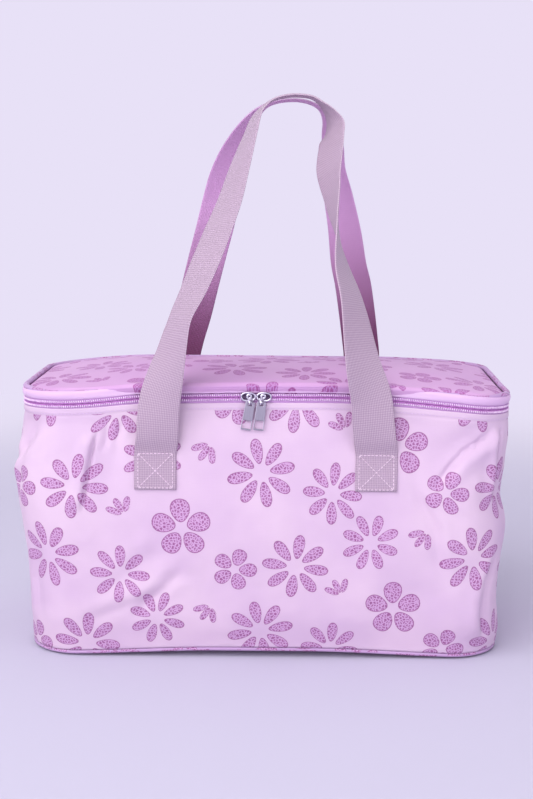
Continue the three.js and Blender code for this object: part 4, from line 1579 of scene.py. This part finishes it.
@dataclass
class Lid(Sewn):
    """Padded lid: printed top, plain side band, piping, foam and lining."""

    seam: float = 252.3
    crown_height: float = 5.0
    crown_run: float = 96.0
    corner_edge: Line = ((1.5, -0.9), (1.9, 0.1), (2.6, 1.0), (3.8, 1.8), (5.6, 2.5), (8.2, 3.1))
    rolled_edge: Line = ((0.0, -8.9), (-0.7, -6.8), (-1.2, -5.0), (-3.7, -2.6), (-4.5, -0.6), (2.6, 1.9))
    rimmed_edge: Line = ((4.0, -2.6), (4.3, -1.6), (4.9, -0.6), (6.0, 0.6), (7.8, 1.7), (10.2, 2.5))
    top_edge: float = 8.0
    top_run: float = 60.0
    top_rise: float = 3.1
    thickness: float = 1.6
    band_section: Line = (
        (-0.1, 244.3), (-0.5, 244.6), (-1.3, 245.6), (-1.9, 247.2), (-2.1, 249.0), (-1.8, 250.6), (-1.0, 251.7),
        (0.1, 252.2), (1.3, 251.6), (1.6, 249.5), (1.5, 247.4), (0.9, 247.1), (-0.05, 246.9), (-0.05, 244.4),
    )

    def crown(self, inside: Array) -> Array:
        """Rise of the lid at distances inwards from its edge."""
        share = np.clip(inside / self.crown_run, 0, 1)
        return self.crown_height * (1 - (1 - share) ** 2)

    @staticmethod
    def rimmed(along: Array) -> Array:
        """1 round the sides and back, where the piping stands up like a rim."""
        return smooth(190, 228, np.abs(along))

    @staticmethod
    def middle(along: Array) -> Array:
        """1 over the middle of the front, where the top bulges over the band."""
        return smooth(196, 108, np.abs(along))

    def build(self) -> None:
        """Builds the lid."""
        hang, stuffs, body = self.maker.hang, self.maker.wardrobe, self.body
        self.top()
        band = body.ring("lid_side_band", np.array(self.band_section), 420, self.band_push, rolled=True)
        hang(band, stuffs.plain, "lid", "lid_band")
        self.piping()
        foam = body.plate("lid_padding", 8.0, 246.4, 251.4, self.crown)
        hang(foam, stuffs.foam, "lid", "lid_foam")
        liner = body.plate("lid_liner", 8.0, 245.2, 246.1, self.crown, sag=Base.puckers)
        hang(liner, stuffs.lining, "lid", "lid_lining")
        edging = body.ring("lid_edging", bar_section(6.8, 7.7, 245.3, 251.6, 0.3))
        hang(edging, stuffs.edging, "lid", "lid_binding")

    def top(self) -> None:
        """Builds the printed top, rolled over the band at the middle of the front."""
        outline = self.body.outline
        here = self.body.stations(560)[:-1]
        base, outward = outline.follow(here)
        middle, rimmed = self.middle(here)[:, None, None], self.rimmed(here)[:, None, None]
        edge = (1 - rimmed) * np.array(self.corner_edge) + rimmed * np.array(self.rimmed_edge)
        edge = (1 - middle) * edge + middle * np.array(self.rolled_edge)
        roll = base[:, None, :] - outward[:, None, :] * edge[..., :1]
        rise = edge[..., 1]
        shares = 1 - np.linspace(0, 1, 34)[1:] ** 1.25
        shares[-1] = 0.01
        flat = roll[:, -1:, :] * shares[None, :, None]
        inner = outline.depth_inside(flat[..., 0], flat[..., 1]) - self.top_edge
        height = rise[:, -1:] * np.clip(1 - inner / self.top_run, 0, 1)
        height = height + self.top_rise * np.clip(inner / self.top_run, 0, 1)
        height = height + self.crown(inner) + self.puffs(flat[..., 0], flat[..., 1])
        upper = np.concatenate([at_height(roll, rise + self.seam), at_height(flat, height + self.seam)], axis=1)
        under = upper[:, 2:].copy()
        under[..., 2] -= self.thickness
        under[..., :2] *= 0.992
        grid = self.body.slump.settle(np.concatenate([upper[:, ::-1], under], axis=1))
        piece = grid_mesh("lid_cloth", grid, round_v=False)
        self.roll_cloth(piece)
        self.maker.hang(piece, self.maker.wardrobe.lid, "lid", "lid_top_panel")

    @staticmethod
    def roll_cloth(piece: Piece) -> None:
        """Lets the print run on down the rolled front edge, instead of stretching there.

        Args:
            piece: cloth of the top.
        """
        mesh = piece.data
        corners = np.zeros(len(mesh.loops), np.int32)
        mesh.loops.foreach_get("vertex_index", corners)
        points = np.zeros(len(mesh.vertices) * 3, np.float32)
        mesh.vertices.foreach_get("co", points)
        at = points.reshape(-1, 3)[corners]
        uv = at[:, :2].copy()
        below = np.clip(0.2585 - at[:, 2], 0, 1)
        uv[:, 1] -= np.where(at[:, 1] < -0.1, below, 0)
        mesh.uv_layers["cloth"].data.foreach_set("uv", uv.ravel())

    @staticmethod
    def puffs(x: Array, y: Array) -> Array:
        """Low waves of the padded top."""
        waves = np.sin(x / 41 + 0.8) * np.sin(y / 36 + 0.3) + 0.5 * np.sin(x / 19 + y / 27)
        return 0.55 * smooth(218, 150, np.abs(x)) * smooth(108, 70, np.abs(y)) * waves

    @staticmethod
    def band_push(along: Array, height: Array) -> Array:
        """Slight puckers of the band between its seams."""
        share = np.clip((height - 245) / 6, 0, 1)
        return (Ripple(31, 0.22, 16, 60).push(along, height * 0) - 1.5 * Lid.middle(along)) * 4 * share * (1 - share)

    def piping(self) -> None:
        """Builds the piping, which stands up at the sides and back."""
        along = self.body.stations(480)
        cos, sin = circle(12)
        shown = self.rimmed(along[:-1])[:, None]
        radius = 0.9 + 1.7 * shown
        inset = 0.9 + 0.5 * shown - radius * cos
        height = self.seam - 0.4 + 0.9 * shown + radius * sin
        grid = self.body.place(along[:-1, None], inset, height)
        piece = grid_mesh("lid_piping", grid, along, np.arange(13) * 1.15)
        self.maker.hang(piece, self.maker.wardrobe.piping, "lid", "lid_welt")


@dataclass(frozen=True)
class SliderPull:
    """One slider of the zip with its hanging pull."""

    maker: Maker
    side: str
    across: float
    loop_shift: float
    lean: float
    height: float = 240.2
    raised: float = 245.3
    half_width: float = 6.2
    half_height: float = 3.7
    plate_back: float = -113.55
    loop_depth: float = -116.35
    rim_radius: float = 0.95
    dish: Line = ((1.0, 0.1), (1.0, -0.55), (0.8, -0.45), (0.5, -0.4), (0.06, -0.4))
    boss: Line = ((0.75, -0.2), (0.75, -1.1), (1.1, -1.5), (2.2, -1.5), (2.9, -1.0), (2.9, -0.2))
    arch: Line = ((-1.5, 1.4), (1.5, 1.4), (1.5, 2.0), (1.1, 2.3), (-1.1, 2.3), (-1.5, 2.0))
    outline: Line = (
        (-3.5, 0.45), (3.5, 0.45), (3.8, -0.2), (4.5, -24.5),
        (4.2, -25.05), (-4.2, -25.05), (-4.5, -24.5), (-3.8, -0.2),
    )
    slot: Line = ((-2.2, -0.45), (2.2, -0.45), (2.25, -3.2), (-2.25, -3.2))
    window: Line = ((-4.1, -16.1), (4.1, -16.1), (4.35, -24.2), (-4.35, -24.2))
    half_thickness: float = 0.6
    chamfer: float = 0.3
    chamfer_depth: float = 0.1

    def build(self) -> None:
        """Builds the slider and the pull."""
        hang, stuffs = self.maker.hang, self.maker.wardrobe
        slider, puller = f"{self.side}_slider", f"{self.side}_puller"
        shell = join_shapes([self.rim(), self.swivel(), self.back_plate(), self.neck()])
        hang(make_mesh(f"{slider}_shell", *shell), stuffs.chrome, slider, slider)
        hang(make_mesh(f"{slider}_face", *self.face()), stuffs.dark_metal, slider)
        bridge = join_shapes([self.loop(), self.tongue()])
        hang(make_mesh(f"{slider}_loop", *bridge), stuffs.steel, slider)
        hang(self.pull(f"{self.side}_pull_tab"), stuffs.pull_steel, puller, puller)

    def oval(self, steps: int) -> Array:
        """Points of the front plate's rounded outline about its middle, in X and Z."""
        spots = circle(steps).T
        return np.sign(spots) * np.abs(spots) ** 0.86 * (self.half_width, self.half_height)

    def rim(self) -> Shape:
        """Bright oval rim of the front plate.

        Returns:
            Its points and faces.
        """
        oval = self.oval(64)
        outward = unit(oval / (self.half_width**2, self.half_height**2))
        cos, sin = circle(12) * self.rim_radius
        flat = (oval + (self.across, self.raised))[:, None, :] + outward[:, None, :] * cos[None, :, None]
        depth = np.broadcast_to(self.plate_back - 1.0 + sin, flat.shape[:2])
        return ring_shape(np.stack([flat[..., 0], depth, flat[..., 1]], axis=-1))

    def face(self) -> Shape:
        """Dished face inside the rim, coloured dark as a painted dark reflection of the chrome.

        Returns:
            Its points and faces.
        """
        rings = []
        for share, depth in self.dish:
            x, z = (self.oval(48) * share + (self.across, self.raised)).T
            rings.append(np.stack([x, np.full(48, self.plate_back + depth), z], axis=-1))
        return tube_shape(np.array(rings))

    def swivel(self) -> Shape:
        """Pierced boss inside the rim that carries the loop.

        Returns:
            Its points and faces.
        """
        cos, sin = circle(32)
        across, height = self.across + 0.4 * self.loop_shift, self.raised + 0.2
        rows = [
            np.stack([across + radius * cos, np.full(32, self.plate_back + depth), height + radius * sin], axis=-1)
            for radius, depth in self.boss
        ]
        return ring_shape(np.stack(rows, axis=1))

    def tongue(self) -> Shape:
        """Flat bridge from the boss down to the loop."""
        middle = (self.height + self.raised) / 2 - 0.4
        return box_shape((self.across + self.loop_shift, self.plate_back - 1.6, middle), (4.6, 0.8, 3.6), 0.3)

    def loop(self) -> Shape:
        """Arched loop that the pull hangs from.

        Returns:
            Its points and faces.
        """
        cos, sin = circle(32)
        across = self.across + self.loop_shift
        rows = [
            np.stack([np.full(32, across + x), self.loop_depth + radius * cos, self.height + radius * sin], axis=-1)
            for x, radius in self.arch
        ]
        return ring_shape(np.stack(rows, axis=1))

    def back_plate(self) -> Shape:
        """Plate behind the teeth, inside the bag."""
        return box_shape((self.across, -109.05, self.height + 3), (13.0, 1.2, 10.6), 0.4)

    def neck(self) -> Shape:
        """Post that joins the two plates between the teeth."""
        return box_shape((self.across, -111.6, self.height), (2.2, 4.4, 0.5), 0.1)

    def pull(self, name: str) -> Piece:
        """Flat pull with a slot for the loop and an open window at its foot.

        Args:
            name: name of the piece.

        Returns:
            The pull.
        """
        curve = bpy.data.curves.new(name, "CURVE")
        curve.dimensions = "2D"
        curve.fill_mode = "BOTH"
        flatten = self.chamfer_depth / self.chamfer
        curve.extrude = (self.half_thickness - self.chamfer_depth) / flatten
        curve.bevel_depth = self.chamfer
        curve.bevel_resolution = 0
        for corners in (self.outline, self.slot, self.window):
            spline = curve.splines.new("POLY")
            spline.points.add(len(corners) - 1)
            for point, (u, v) in zip(spline.points, corners):
                point.co = (u, v, 0, 1)
            spline.use_cyclic_u = True
        model = show(name, curve)
        shape = bpy.data.meshes.new_from_object(model.evaluated_get(bpy.context.evaluated_depsgraph_get()))
        bpy.data.objects.remove(model)
        count = len(shape.vertices)
        flat = np.zeros(count * 3, np.float32)
        shape.vertices.foreach_get("co", flat)
        u, v, thick = flat.reshape(-1, 3).astype(float).T
        tilt = math.radians(self.lean)
        across = self.across + self.loop_shift + u * math.cos(tilt) + v * math.sin(tilt)
        height = self.height - u * math.sin(tilt) + v * math.cos(tilt)
        places = np.stack([across, self.loop_depth - thick * flatten, height], axis=-1)
        piece = make_mesh(name, places, [tuple(face.vertices) for face in shape.polygons])
        bpy.data.meshes.remove(shape)
        piece.data.shade_flat()
        return piece


class LoopRoute:
    """Route of a strap: stations of X, Y, Z and the turn of its width."""

    def __init__(self, stations: Sequence[Station]) -> None:
        """Keeps the stations as an array."""
        self.stations = np.array(stations, float)

    def point(self, share: float) -> Array:
        """Place on a smooth curve through the stations.

        Args:
            share: how far along, from 0 to 1.

        Returns:
            The place.
        """
        spots = self.stations[:, :3]
        last = len(spots) - 1
        at = min(max(share, 0.0), 1.0) * last
        index = min(int(at), last - 1)
        part = at - index
        first, second = spots[index], spots[index + 1]
        before = spots[index - 1] if index > 0 else 2 * first - second
        after = spots[index + 2] if index + 2 <= last else 2 * second - first
        sides = ((before, first), (first, second), (second, after))
        gaps = [max(np.sqrt(np.linalg.norm(b - a)), 1e-4) for a, b in sides]
        leave = ((first - before) / gaps[0] - (second - before) / (gaps[0] + gaps[1])) * gaps[1] + second - first
        reach = second - first + ((after - second) / gaps[2] - (after - first) / (gaps[1] + gaps[2])) * gaps[1]
        curve = (second - first) * 3 - 2 * leave - reach
        bend = (first - second) * 2 + leave + reach
        return first + leave * part + curve * part**2 + bend * part**3

    def samples(self, spacing: float) -> tuple[Array, Array]:
        """Evenly spaced places along the route, and the turn at each.

        Args:
            spacing: wanted distance between places.

        Returns:
            Places and turns.
        """
        fine = np.linspace(0, 1, 60 * len(self.stations))
        spots = np.array([self.point(share) for share in fine])
        reached = travelled(spots)
        even = np.linspace(0, reached[-1], int(reached[-1] / spacing) + 1)
        places = np.stack([np.interp(even, reached, spots[:, k]) for k in range(3)], axis=1)
        turns = np.interp(fine * (len(self.stations) - 1), np.arange(len(self.stations)), self.stations[:, 3])
        turns = np.interp(even, reached, turns)
        width = max(1, int(9 / spacing))
        padded = np.pad(turns, width, mode="edge")
        return places, np.convolve(padded, np.ones(2 * width + 1) / (2 * width + 1), mode="valid")


@dataclass
class Strap:
    """Flat webbing along a route."""

    name: str
    route: LoopRoute
    side: int
    width: float = 38.0
    thickness: float = 1.6
    cup: float = 0.5
    spacing: float = 2.6

    def section(self) -> Array:
        """Corners of the section: across, through, and 1 on the inner face.

        Returns:
            The section's corners.
        """
        steps = np.array([-1, -0.985, -0.94, -0.8, -0.55, -0.3, 0, 0.3, 0.55, 0.8, 0.94, 0.985, 1])
        thick = np.where(np.abs(steps) > 0.99, 0.25, np.where(np.abs(steps) > 0.96, 0.75, 1.0))
        thick = thick + 0.1 * np.exp(-(((np.abs(steps) - 0.94) / 0.04) ** 2))
        bend = self.cup * (steps**2 - 0.3)
        outer = np.stack([steps * self.width / 2, bend - thick * self.thickness / 2, 0 * steps], axis=1)
        inner = np.stack([steps * self.width / 2, bend + thick * self.thickness / 2, 0 * steps + 1], axis=1)
        return np.concatenate([outer, inner[::-1]])

    def build(self, hold: float = 1.0) -> Piece:
        """Builds the strap's mesh.

        Args:
            hold: share of the cupping that its free stretch takes.

        Returns:
            The strap, with its inner face marked, and the share of painted shade towards its bottom.
        """
        places, turns = self.route.samples(self.spacing)
        ahead = unit(np.gradient(places, axis=0))
        angle = np.radians(turns)
        across = np.stack([self.side * np.cos(angle), -np.sin(angle), 0 * angle], axis=1)
        across = unit(across - ahead * np.einsum("ij,ij->i", across, ahead)[:, None])
        through = np.cross(ahead, across)
        section = self.section()
        free = smooth(196, 230, places[:, 2]) * hold
        flat = section[:, 1] - self.cup * ((section[:, 0] * 2 / self.width) ** 2 - 0.3)
        deep = flat[None, :] + (section[:, 1] - flat)[None, :] * free[:, None]
        grid = (
            places[:, None, :]
            + across[:, None, :] * section[None, :, 0, None]
            + through[:, None, :] * deep[..., None]
        )
        width = np.concatenate([section[:, 0], section[:1, 0]])
        piece = grid_mesh(self.name, grid, travelled(places), width, round_u=False)
        inner = np.tile(section[:, 2], len(places))
        # Share of the painted shade on the inner face: 1 towards the bottom of the strap, 0 high up.
        low = np.repeat(smooth(430, 250, places[:, 2]), len(section))
        for mark, values in (("inner_face", inner), ("low_end", low)):
            marks = piece.data.attributes.new(mark, "FLOAT", "POINT")
            marks.data.foreach_set("value", values.astype(np.float32))
        return piece


@dataclass
class Loops(Sewn):
    """The four strap ends and the two carrying loops."""

    spacing: float = 100.0
    face: float = 112.0
    end_height: float = 160.0
    bend: float = 193.0
    rear_bend: float = 255.15
    front_rise: float = 324.0
    rear_rise: float = 260.0
    stand_off: float = 14.5
    meet: float = 21.0
    bar: float = 1.1
    wall_low: float = 4.2
    wall_height: float = 229.0
    wall_swell: float = 24.0
    riser_rise: float = 61.85
    riser_hold: float = 0.5
    front_fold: tuple[float, float] = (0.190, 0.215)
    lid_fold: tuple[float, float] = (0.240, 0.270)
    lid_fold_depth: float = 0.1273
    stitch_half: float = 15.7
    stitch_middle: float = 177.4
    stitch_pitch: float = 3.4
    stitch_lift: float = 0.92
    stitch: Spot = (2.7, 0.55, 0.72)
    front: tuple[Station, ...] = (
        (-0.98, 0.047, 0.0432, 0), (-0.97, 0.019, 0.0957, 4), (-0.95, 0.007, 0.1574, 12),
        (-0.86, 0, 0.2747, 42), (-0.78, 0.047, 0.3765, 58), (-0.67, 0.147, 0.4506, 50),
        (-0.56, 0.261, 0.534, 46), (-0.46, 0.384, 0.6142, 48), (-0.36, 0.526, 0.6975, 54),
        (-0.27, 0.678, 0.7963, 62), (-0.19, 0.82, 0.8796, 72), (-0.11, 0.943, 0.9475, 80),
        (0, 0.991, 0.9815, 86), (0.14, 1, 0.9969, 90), (0.28, 1, 1, 90),
        (0.42, 1, 0.9923, 90), (0.53, 0.981, 0.9599, 84), (0.59, 0.915, 0.9136, 70),
        (0.58, 0.81, 0.8673, 60), (0.56, 0.706, 0.7994, 57), (0.59, 0.564, 0.716, 72),
        (0.63, 0.393, 0.6204, 90), (0.68, 0.251, 0.5216, 110), (0.76, 0.118, 0.429, 122),
        (0.86, 0, 0.2562, 148), (0.94, 0.007, 0.1574, 168), (0.96, 0.019, 0.0957, 176),
        (0.98, 0.047, 0.0432, 180),
    )
    rear_left: tuple[Station, ...] = (
        (-0.98, 0.047, 0.226, 0), (-0.95, 0.019, 0.534, 0), (-0.9, 0, 1, 0),
    )
    rear_right: tuple[Station, ...] = (
        (1, 0.047, 0.226, 0), (1, 0.019, 0.534, 0), (1.01, 0, 1, 0),
    )
    rear: tuple[Station, ...] = (
        (-0.9, 0, 0, 0), (-0.86, 0.019, 0.0654, 0), (-0.78, 0.1, 0.1692, 0),
        (-0.7, 0.213, 0.2923, 0), (-0.61, 0.327, 0.4269, 0), (-0.55, 0.422, 0.5115, 2),
        (-0.48, 0.536, 0.6192, 6), (-0.41, 0.668, 0.7231, 18), (-0.32, 0.801, 0.8269, 42),
        (-0.19, 0.934, 0.9269, 70), (-0.08, 0.986, 0.9692, 82), (0.06, 1, 0.9923, 90),
        (0.28, 1, 1, 90), (0.44, 1, 0.9846, 90), (0.54, 0.986, 0.9577, 96),
        (0.61, 0.934, 0.9115, 108), (0.63, 0.839, 0.85, 118), (0.64, 0.725, 0.7577, 126),
        (0.7, 0.583, 0.6577, 137), (0.78, 0.441, 0.5192, 148), (0.84, 0.299, 0.3769, 162),
        (0.89, 0.223, 0.3, 170), (0.95, 0.1, 0.1692, 178), (0.99, 0.019, 0.0654, 180),
        (1.01, 0, 0, 180),
    )

    def seat(self, height: float) -> float:
        """Distance of a sewn strap's middle from the bag's centre."""
        share = (height - self.wall_low) / self.wall_height
        return self.face + self.wall_swell * share * (1 - share) + self.bar

    def sewn(self, across: int, side: int, turn: float) -> list[Station]:
        """Stations of a strap end, from its foot to its bend."""
        heights = (self.end_height, 168.0, 180.0, self.bend)
        return [(across * self.spacing, -side * self.seat(z), z, turn) for z in heights]

    def lifted(self, route: Sequence[Station], side: int, start: float, rise: float) -> list[Station]:
        """Stations of a free stretch.

        Args:
            route: spread, lean, climb and turn of each station.
            side: 1 on the front and -1 on the rear.
            start: height where the stretch starts.
            rise: height of the stretch.

        Returns:
            X, Y, Z and turn of each station.
        """
        far = self.face + self.stand_off
        return [
            (spread * self.spacing, -side * (far + (self.meet - far) * lean), start + climb * rise, turn)
            for spread, lean, climb, turn in route
        ]

    def build(self) -> None:
        """Builds the straps and their stitches."""
        self.front_strap()
        self.rear_straps()
        for end, across in (("left", -1), ("right", 1)):
            self.box_stitch(f"front_{end}", across, 1)
            self.box_stitch(f"rear_{end}", across, -1)

    def front_strap(self) -> None:
        """Builds the front strap from one sewn end to the other."""
        stations = self.sewn(-1, 1, 0)
        stations += self.lifted(self.front, 1, self.bend, self.front_rise)
        stations += self.sewn(1, 1, 180)[::-1]
        strap = Strap("front_strap", LoopRoute(stations), 1).build()
        nodes = ("front_left_strap_end", "front_right_strap_end", "front_handle_webbing")
        self.maker.dress(strap, self.maker.wardrobe.front_webbing, *nodes)
        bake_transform(strap)

    def rear_straps(self) -> None:
        """Builds the rear strap in three stretches that meet above the bends."""
        dress, webbing = self.maker.dress, self.maker.wardrobe.rear_webbing
        for end, across, route in (("left", -1, self.rear_left), ("right", 1, self.rear_right)):
            stations = self.sewn(across, -1, 0) + self.lifted(route[:2], -1, self.bend, self.riser_rise)
            strap = Strap(f"rear_{end}_strap", LoopRoute(stations), -1).build(self.riser_hold)
            dress(strap, webbing, f"rear_{end}_strap_end", f"rear_{end}_riser")
            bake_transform(strap)
        stations = self.lifted(self.rear_left[1:2], -1, self.bend, self.riser_rise)
        stations += self.lifted(self.rear, -1, self.rear_bend, self.rear_rise)
        x, y, z, _ = self.lifted(self.rear_right[1:2], -1, self.bend, self.riser_rise)[0]
        stations += [(x, y, z, 180.0)]
        strap = Strap("rear_strap_loop", LoopRoute(stations), -1).build()
        dress(strap, webbing, "rear_handle_webbing")
        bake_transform(strap)

    def box_stitch(self, name: str, across: int, side: int) -> None:
        """Sews a square and a cross of thread on a strap end.

        Args:
            name: place of the strap end.
            across: -1 on the left and 1 on the right.
            side: 1 on the front and -1 on the rear.
        """
        half = self.stitch_half
        corners = np.array([(-half, -half), (half, -half), (half, half), (-half, half)])
        out = np.array([0.0, -side, 0.0])
        places, axes = [], []
        for start, end in ((0, 1), (1, 2), (2, 3), (3, 0), (0, 2), (1, 3)):
            line = corners[end] - corners[start]
            reach = math.hypot(*line)
            heading = np.array([line[0] / reach, 0.0, line[1] / reach])
            count = round(reach / self.stitch_pitch)
            for share in (np.arange(count) + 0.5) / count:
                u, v = corners[start] + line * share
                z = self.stitch_middle + v
                places.append((across * self.spacing + u, -side * (self.seat(z) + self.stitch_lift), z))
                axes.append([heading, out, np.cross(heading, out)])
        row = scatter(f"{name}_stitching", rounded_bar(*self.stitch), np.array(places), np.array(axes))
        self.maker.hang(row, self.maker.wardrobe.thread, "root", f"{name}_box_stitch")


@dataclass(frozen=True)
class Lamp:
    """Soft square lamp that faces the bag, in metres and watts."""

    name: str
    place: Spot
    side: float
    power: float
    colour: Spot
    target: Spot = (0.0, 0.0, 0.22)

    def hang(self) -> None:
        """Hangs the lamp in the studio."""
        light = bpy.data.lights.new(self.name, "AREA")
        light.size, light.energy, light.color = self.side, self.power, self.colour
        lamp = show(self.name, light)
        lamp.location = self.place
        lamp.rotation_euler = (Vector(self.target) - Vector(self.place)).to_track_quat("-Z", "Y").to_euler()


@dataclass
class Studio:
    """Pale seamless backdrop, soft lamps and the camera, in metres, degrees and watts."""

    lamps: tuple[Lamp, ...] = (
        Lamp("key_lamp", (-1.77, -2.26, 2.55), 3.5, 124.0, (1.0, 0.985, 0.98)),
        Lamp("low_lamp", (-0.5, -3.6, 0.3), 1.8, 22.0, (1.0, 0.985, 0.98)),
        Lamp("fill_lamp", (2.56, -2.72, 0.99), 1.9, 25.0, (0.97, 0.95, 1.0)),
        Lamp("top_lamp", (0.16, 0.48, 3.2), 3.0, 22.0, (1.0, 0.98, 1.0)),
    )
    world_colour: Station = (0.97, 0.95, 1.0, 1.0)
    world_strength: float = 0.505
    floor_height: float = -0.0012
    floor: str = "c7c4d7"
    far_paper: str = "ece9f2"
    even_paper: str = "e8e1f7"
    sides: int = 96
    bend_reach: float = 4.0
    bend_radius: float = 1.0
    rim_height: float = 4.6
    view_place: Spot = (0.0, -1.345, 0.433)
    view_pitch: float = 8.78
    view_roll: float = 0.55
    lens: float = 62.36

    def build(self) -> None:
        """Sets up the stage."""
        self.backdrop()
        for lamp in self.lamps:
            lamp.hang()
        world = bpy.data.worlds.new("studio")
        world.use_nodes = True
        shade = world.node_tree.nodes["Background"]
        shade.inputs["Color"].default_value = self.world_colour
        shade.inputs["Strength"].default_value = self.world_strength
        bpy.context.scene.world = world
        bpy.context.scene.view_settings.view_transform = "Standard"
        self.camera()

    def backdrop(self) -> None:
        """Round floor that sweeps up on every side, well clear of the bag."""
        turn = np.linspace(0, math.pi / 2, 16)
        bend = self.bend_reach + self.bend_radius * np.sin(turn)
        reach = np.concatenate([[0.01, 0.6, 1.2, 2.4], bend, [self.bend_reach + self.bend_radius]])
        climb = self.bend_radius * (1.0 - np.cos(turn))
        z = np.concatenate([np.zeros(4), climb, [self.rim_height]]) + self.floor_height
        cos, sin = circle(self.sides)
        points = np.stack([reach[:, None] * cos, reach[:, None] * sin, z[:, None] + 0 * cos], axis=-1)
        mesh = bpy.data.meshes.new("seamless_backdrop")
        faces = [tuple(range(self.sides)), *tube_sides(len(reach), self.sides)]
        mesh.from_pydata(points.reshape(-1, 3).tolist(), [], faces)
        mesh.polygons.foreach_set("use_smooth", np.ones(len(faces), bool))
        sweep = show("seamless_backdrop", mesh)
        sweep.data.materials.append(self.paper())

    def paper(self) -> Material:
        """Paper of the backdrop, whose far part shows one even colour, also in metal.

        Returns:
            The material.
        """
        paper = Cloth("backdrop_paper")
        bench = paper.bench
        x, y = bench.split(paper.place())
        away = bench.ease(bench.math("ADD", bench.times(x, x), bench.times(y, y)), 0.3, 2.6)
        grain = bench.noise(paper.place(), 260.0)
        paper.set(Base_Color=bench.blend(away, tint(self.floor), tint(self.far_paper)), Specular_IOR_Level=0.1)
        paper.set(Roughness=bench.scaled(grain, 0.1, 0.85))
        rays = bench.add("ShaderNodeLightPath").outputs
        seen = bench.math("MAXIMUM", rays["Is Camera Ray"], rays["Is Glossy Ray"])
        seen = bench.math("MAXIMUM", seen, rays["Is Transmission Ray"])
        glow = bench.add("ShaderNodeEmission", {"Color": tint(self.even_paper)})
        shaders = {0: bench.times(seen, away), 1: paper.shader.outputs[0], 2: glow.outputs[0]}
        bench.feed(paper.output.inputs[0], bench.add("ShaderNodeMixShader", shaders).outputs[0])
        return paper.material

    def camera(self) -> None:
        """Camera a little above the lid, turned down to the middle of the bag."""
        view = bpy.data.cameras.new("photo_view")
        view.lens, view.sensor_width, view.clip_start = self.lens, 36.0, 0.05
        camera = show("photo_view", view)
        camera.location = self.view_place
        pitch = Matrix.Rotation(math.radians(90 - self.view_pitch), 4, "X")
        camera.rotation_euler = (pitch @ Matrix.Rotation(math.radians(self.view_roll), 4, "Z")).to_euler()
        bpy.context.scene.camera = camera


def main() -> None:
    """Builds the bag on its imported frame."""
    logging.basicConfig(level=logging.INFO, format="%(name)s %(message)s")
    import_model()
    LOG.info("frame loaded")

    body, maker = Body(), Maker()
    for part in (Wall, Base, Zip, Lid):
        part(body, maker).build()
    SliderPull(maker, "left", -16.5, 2.0, 9.5).build()
    SliderPull(maker, "right", -2.3, -2.0, 6.6).build()
    Loops(body, maker).build()
    Studio().build()


if __name__ == "__main__":
    main()
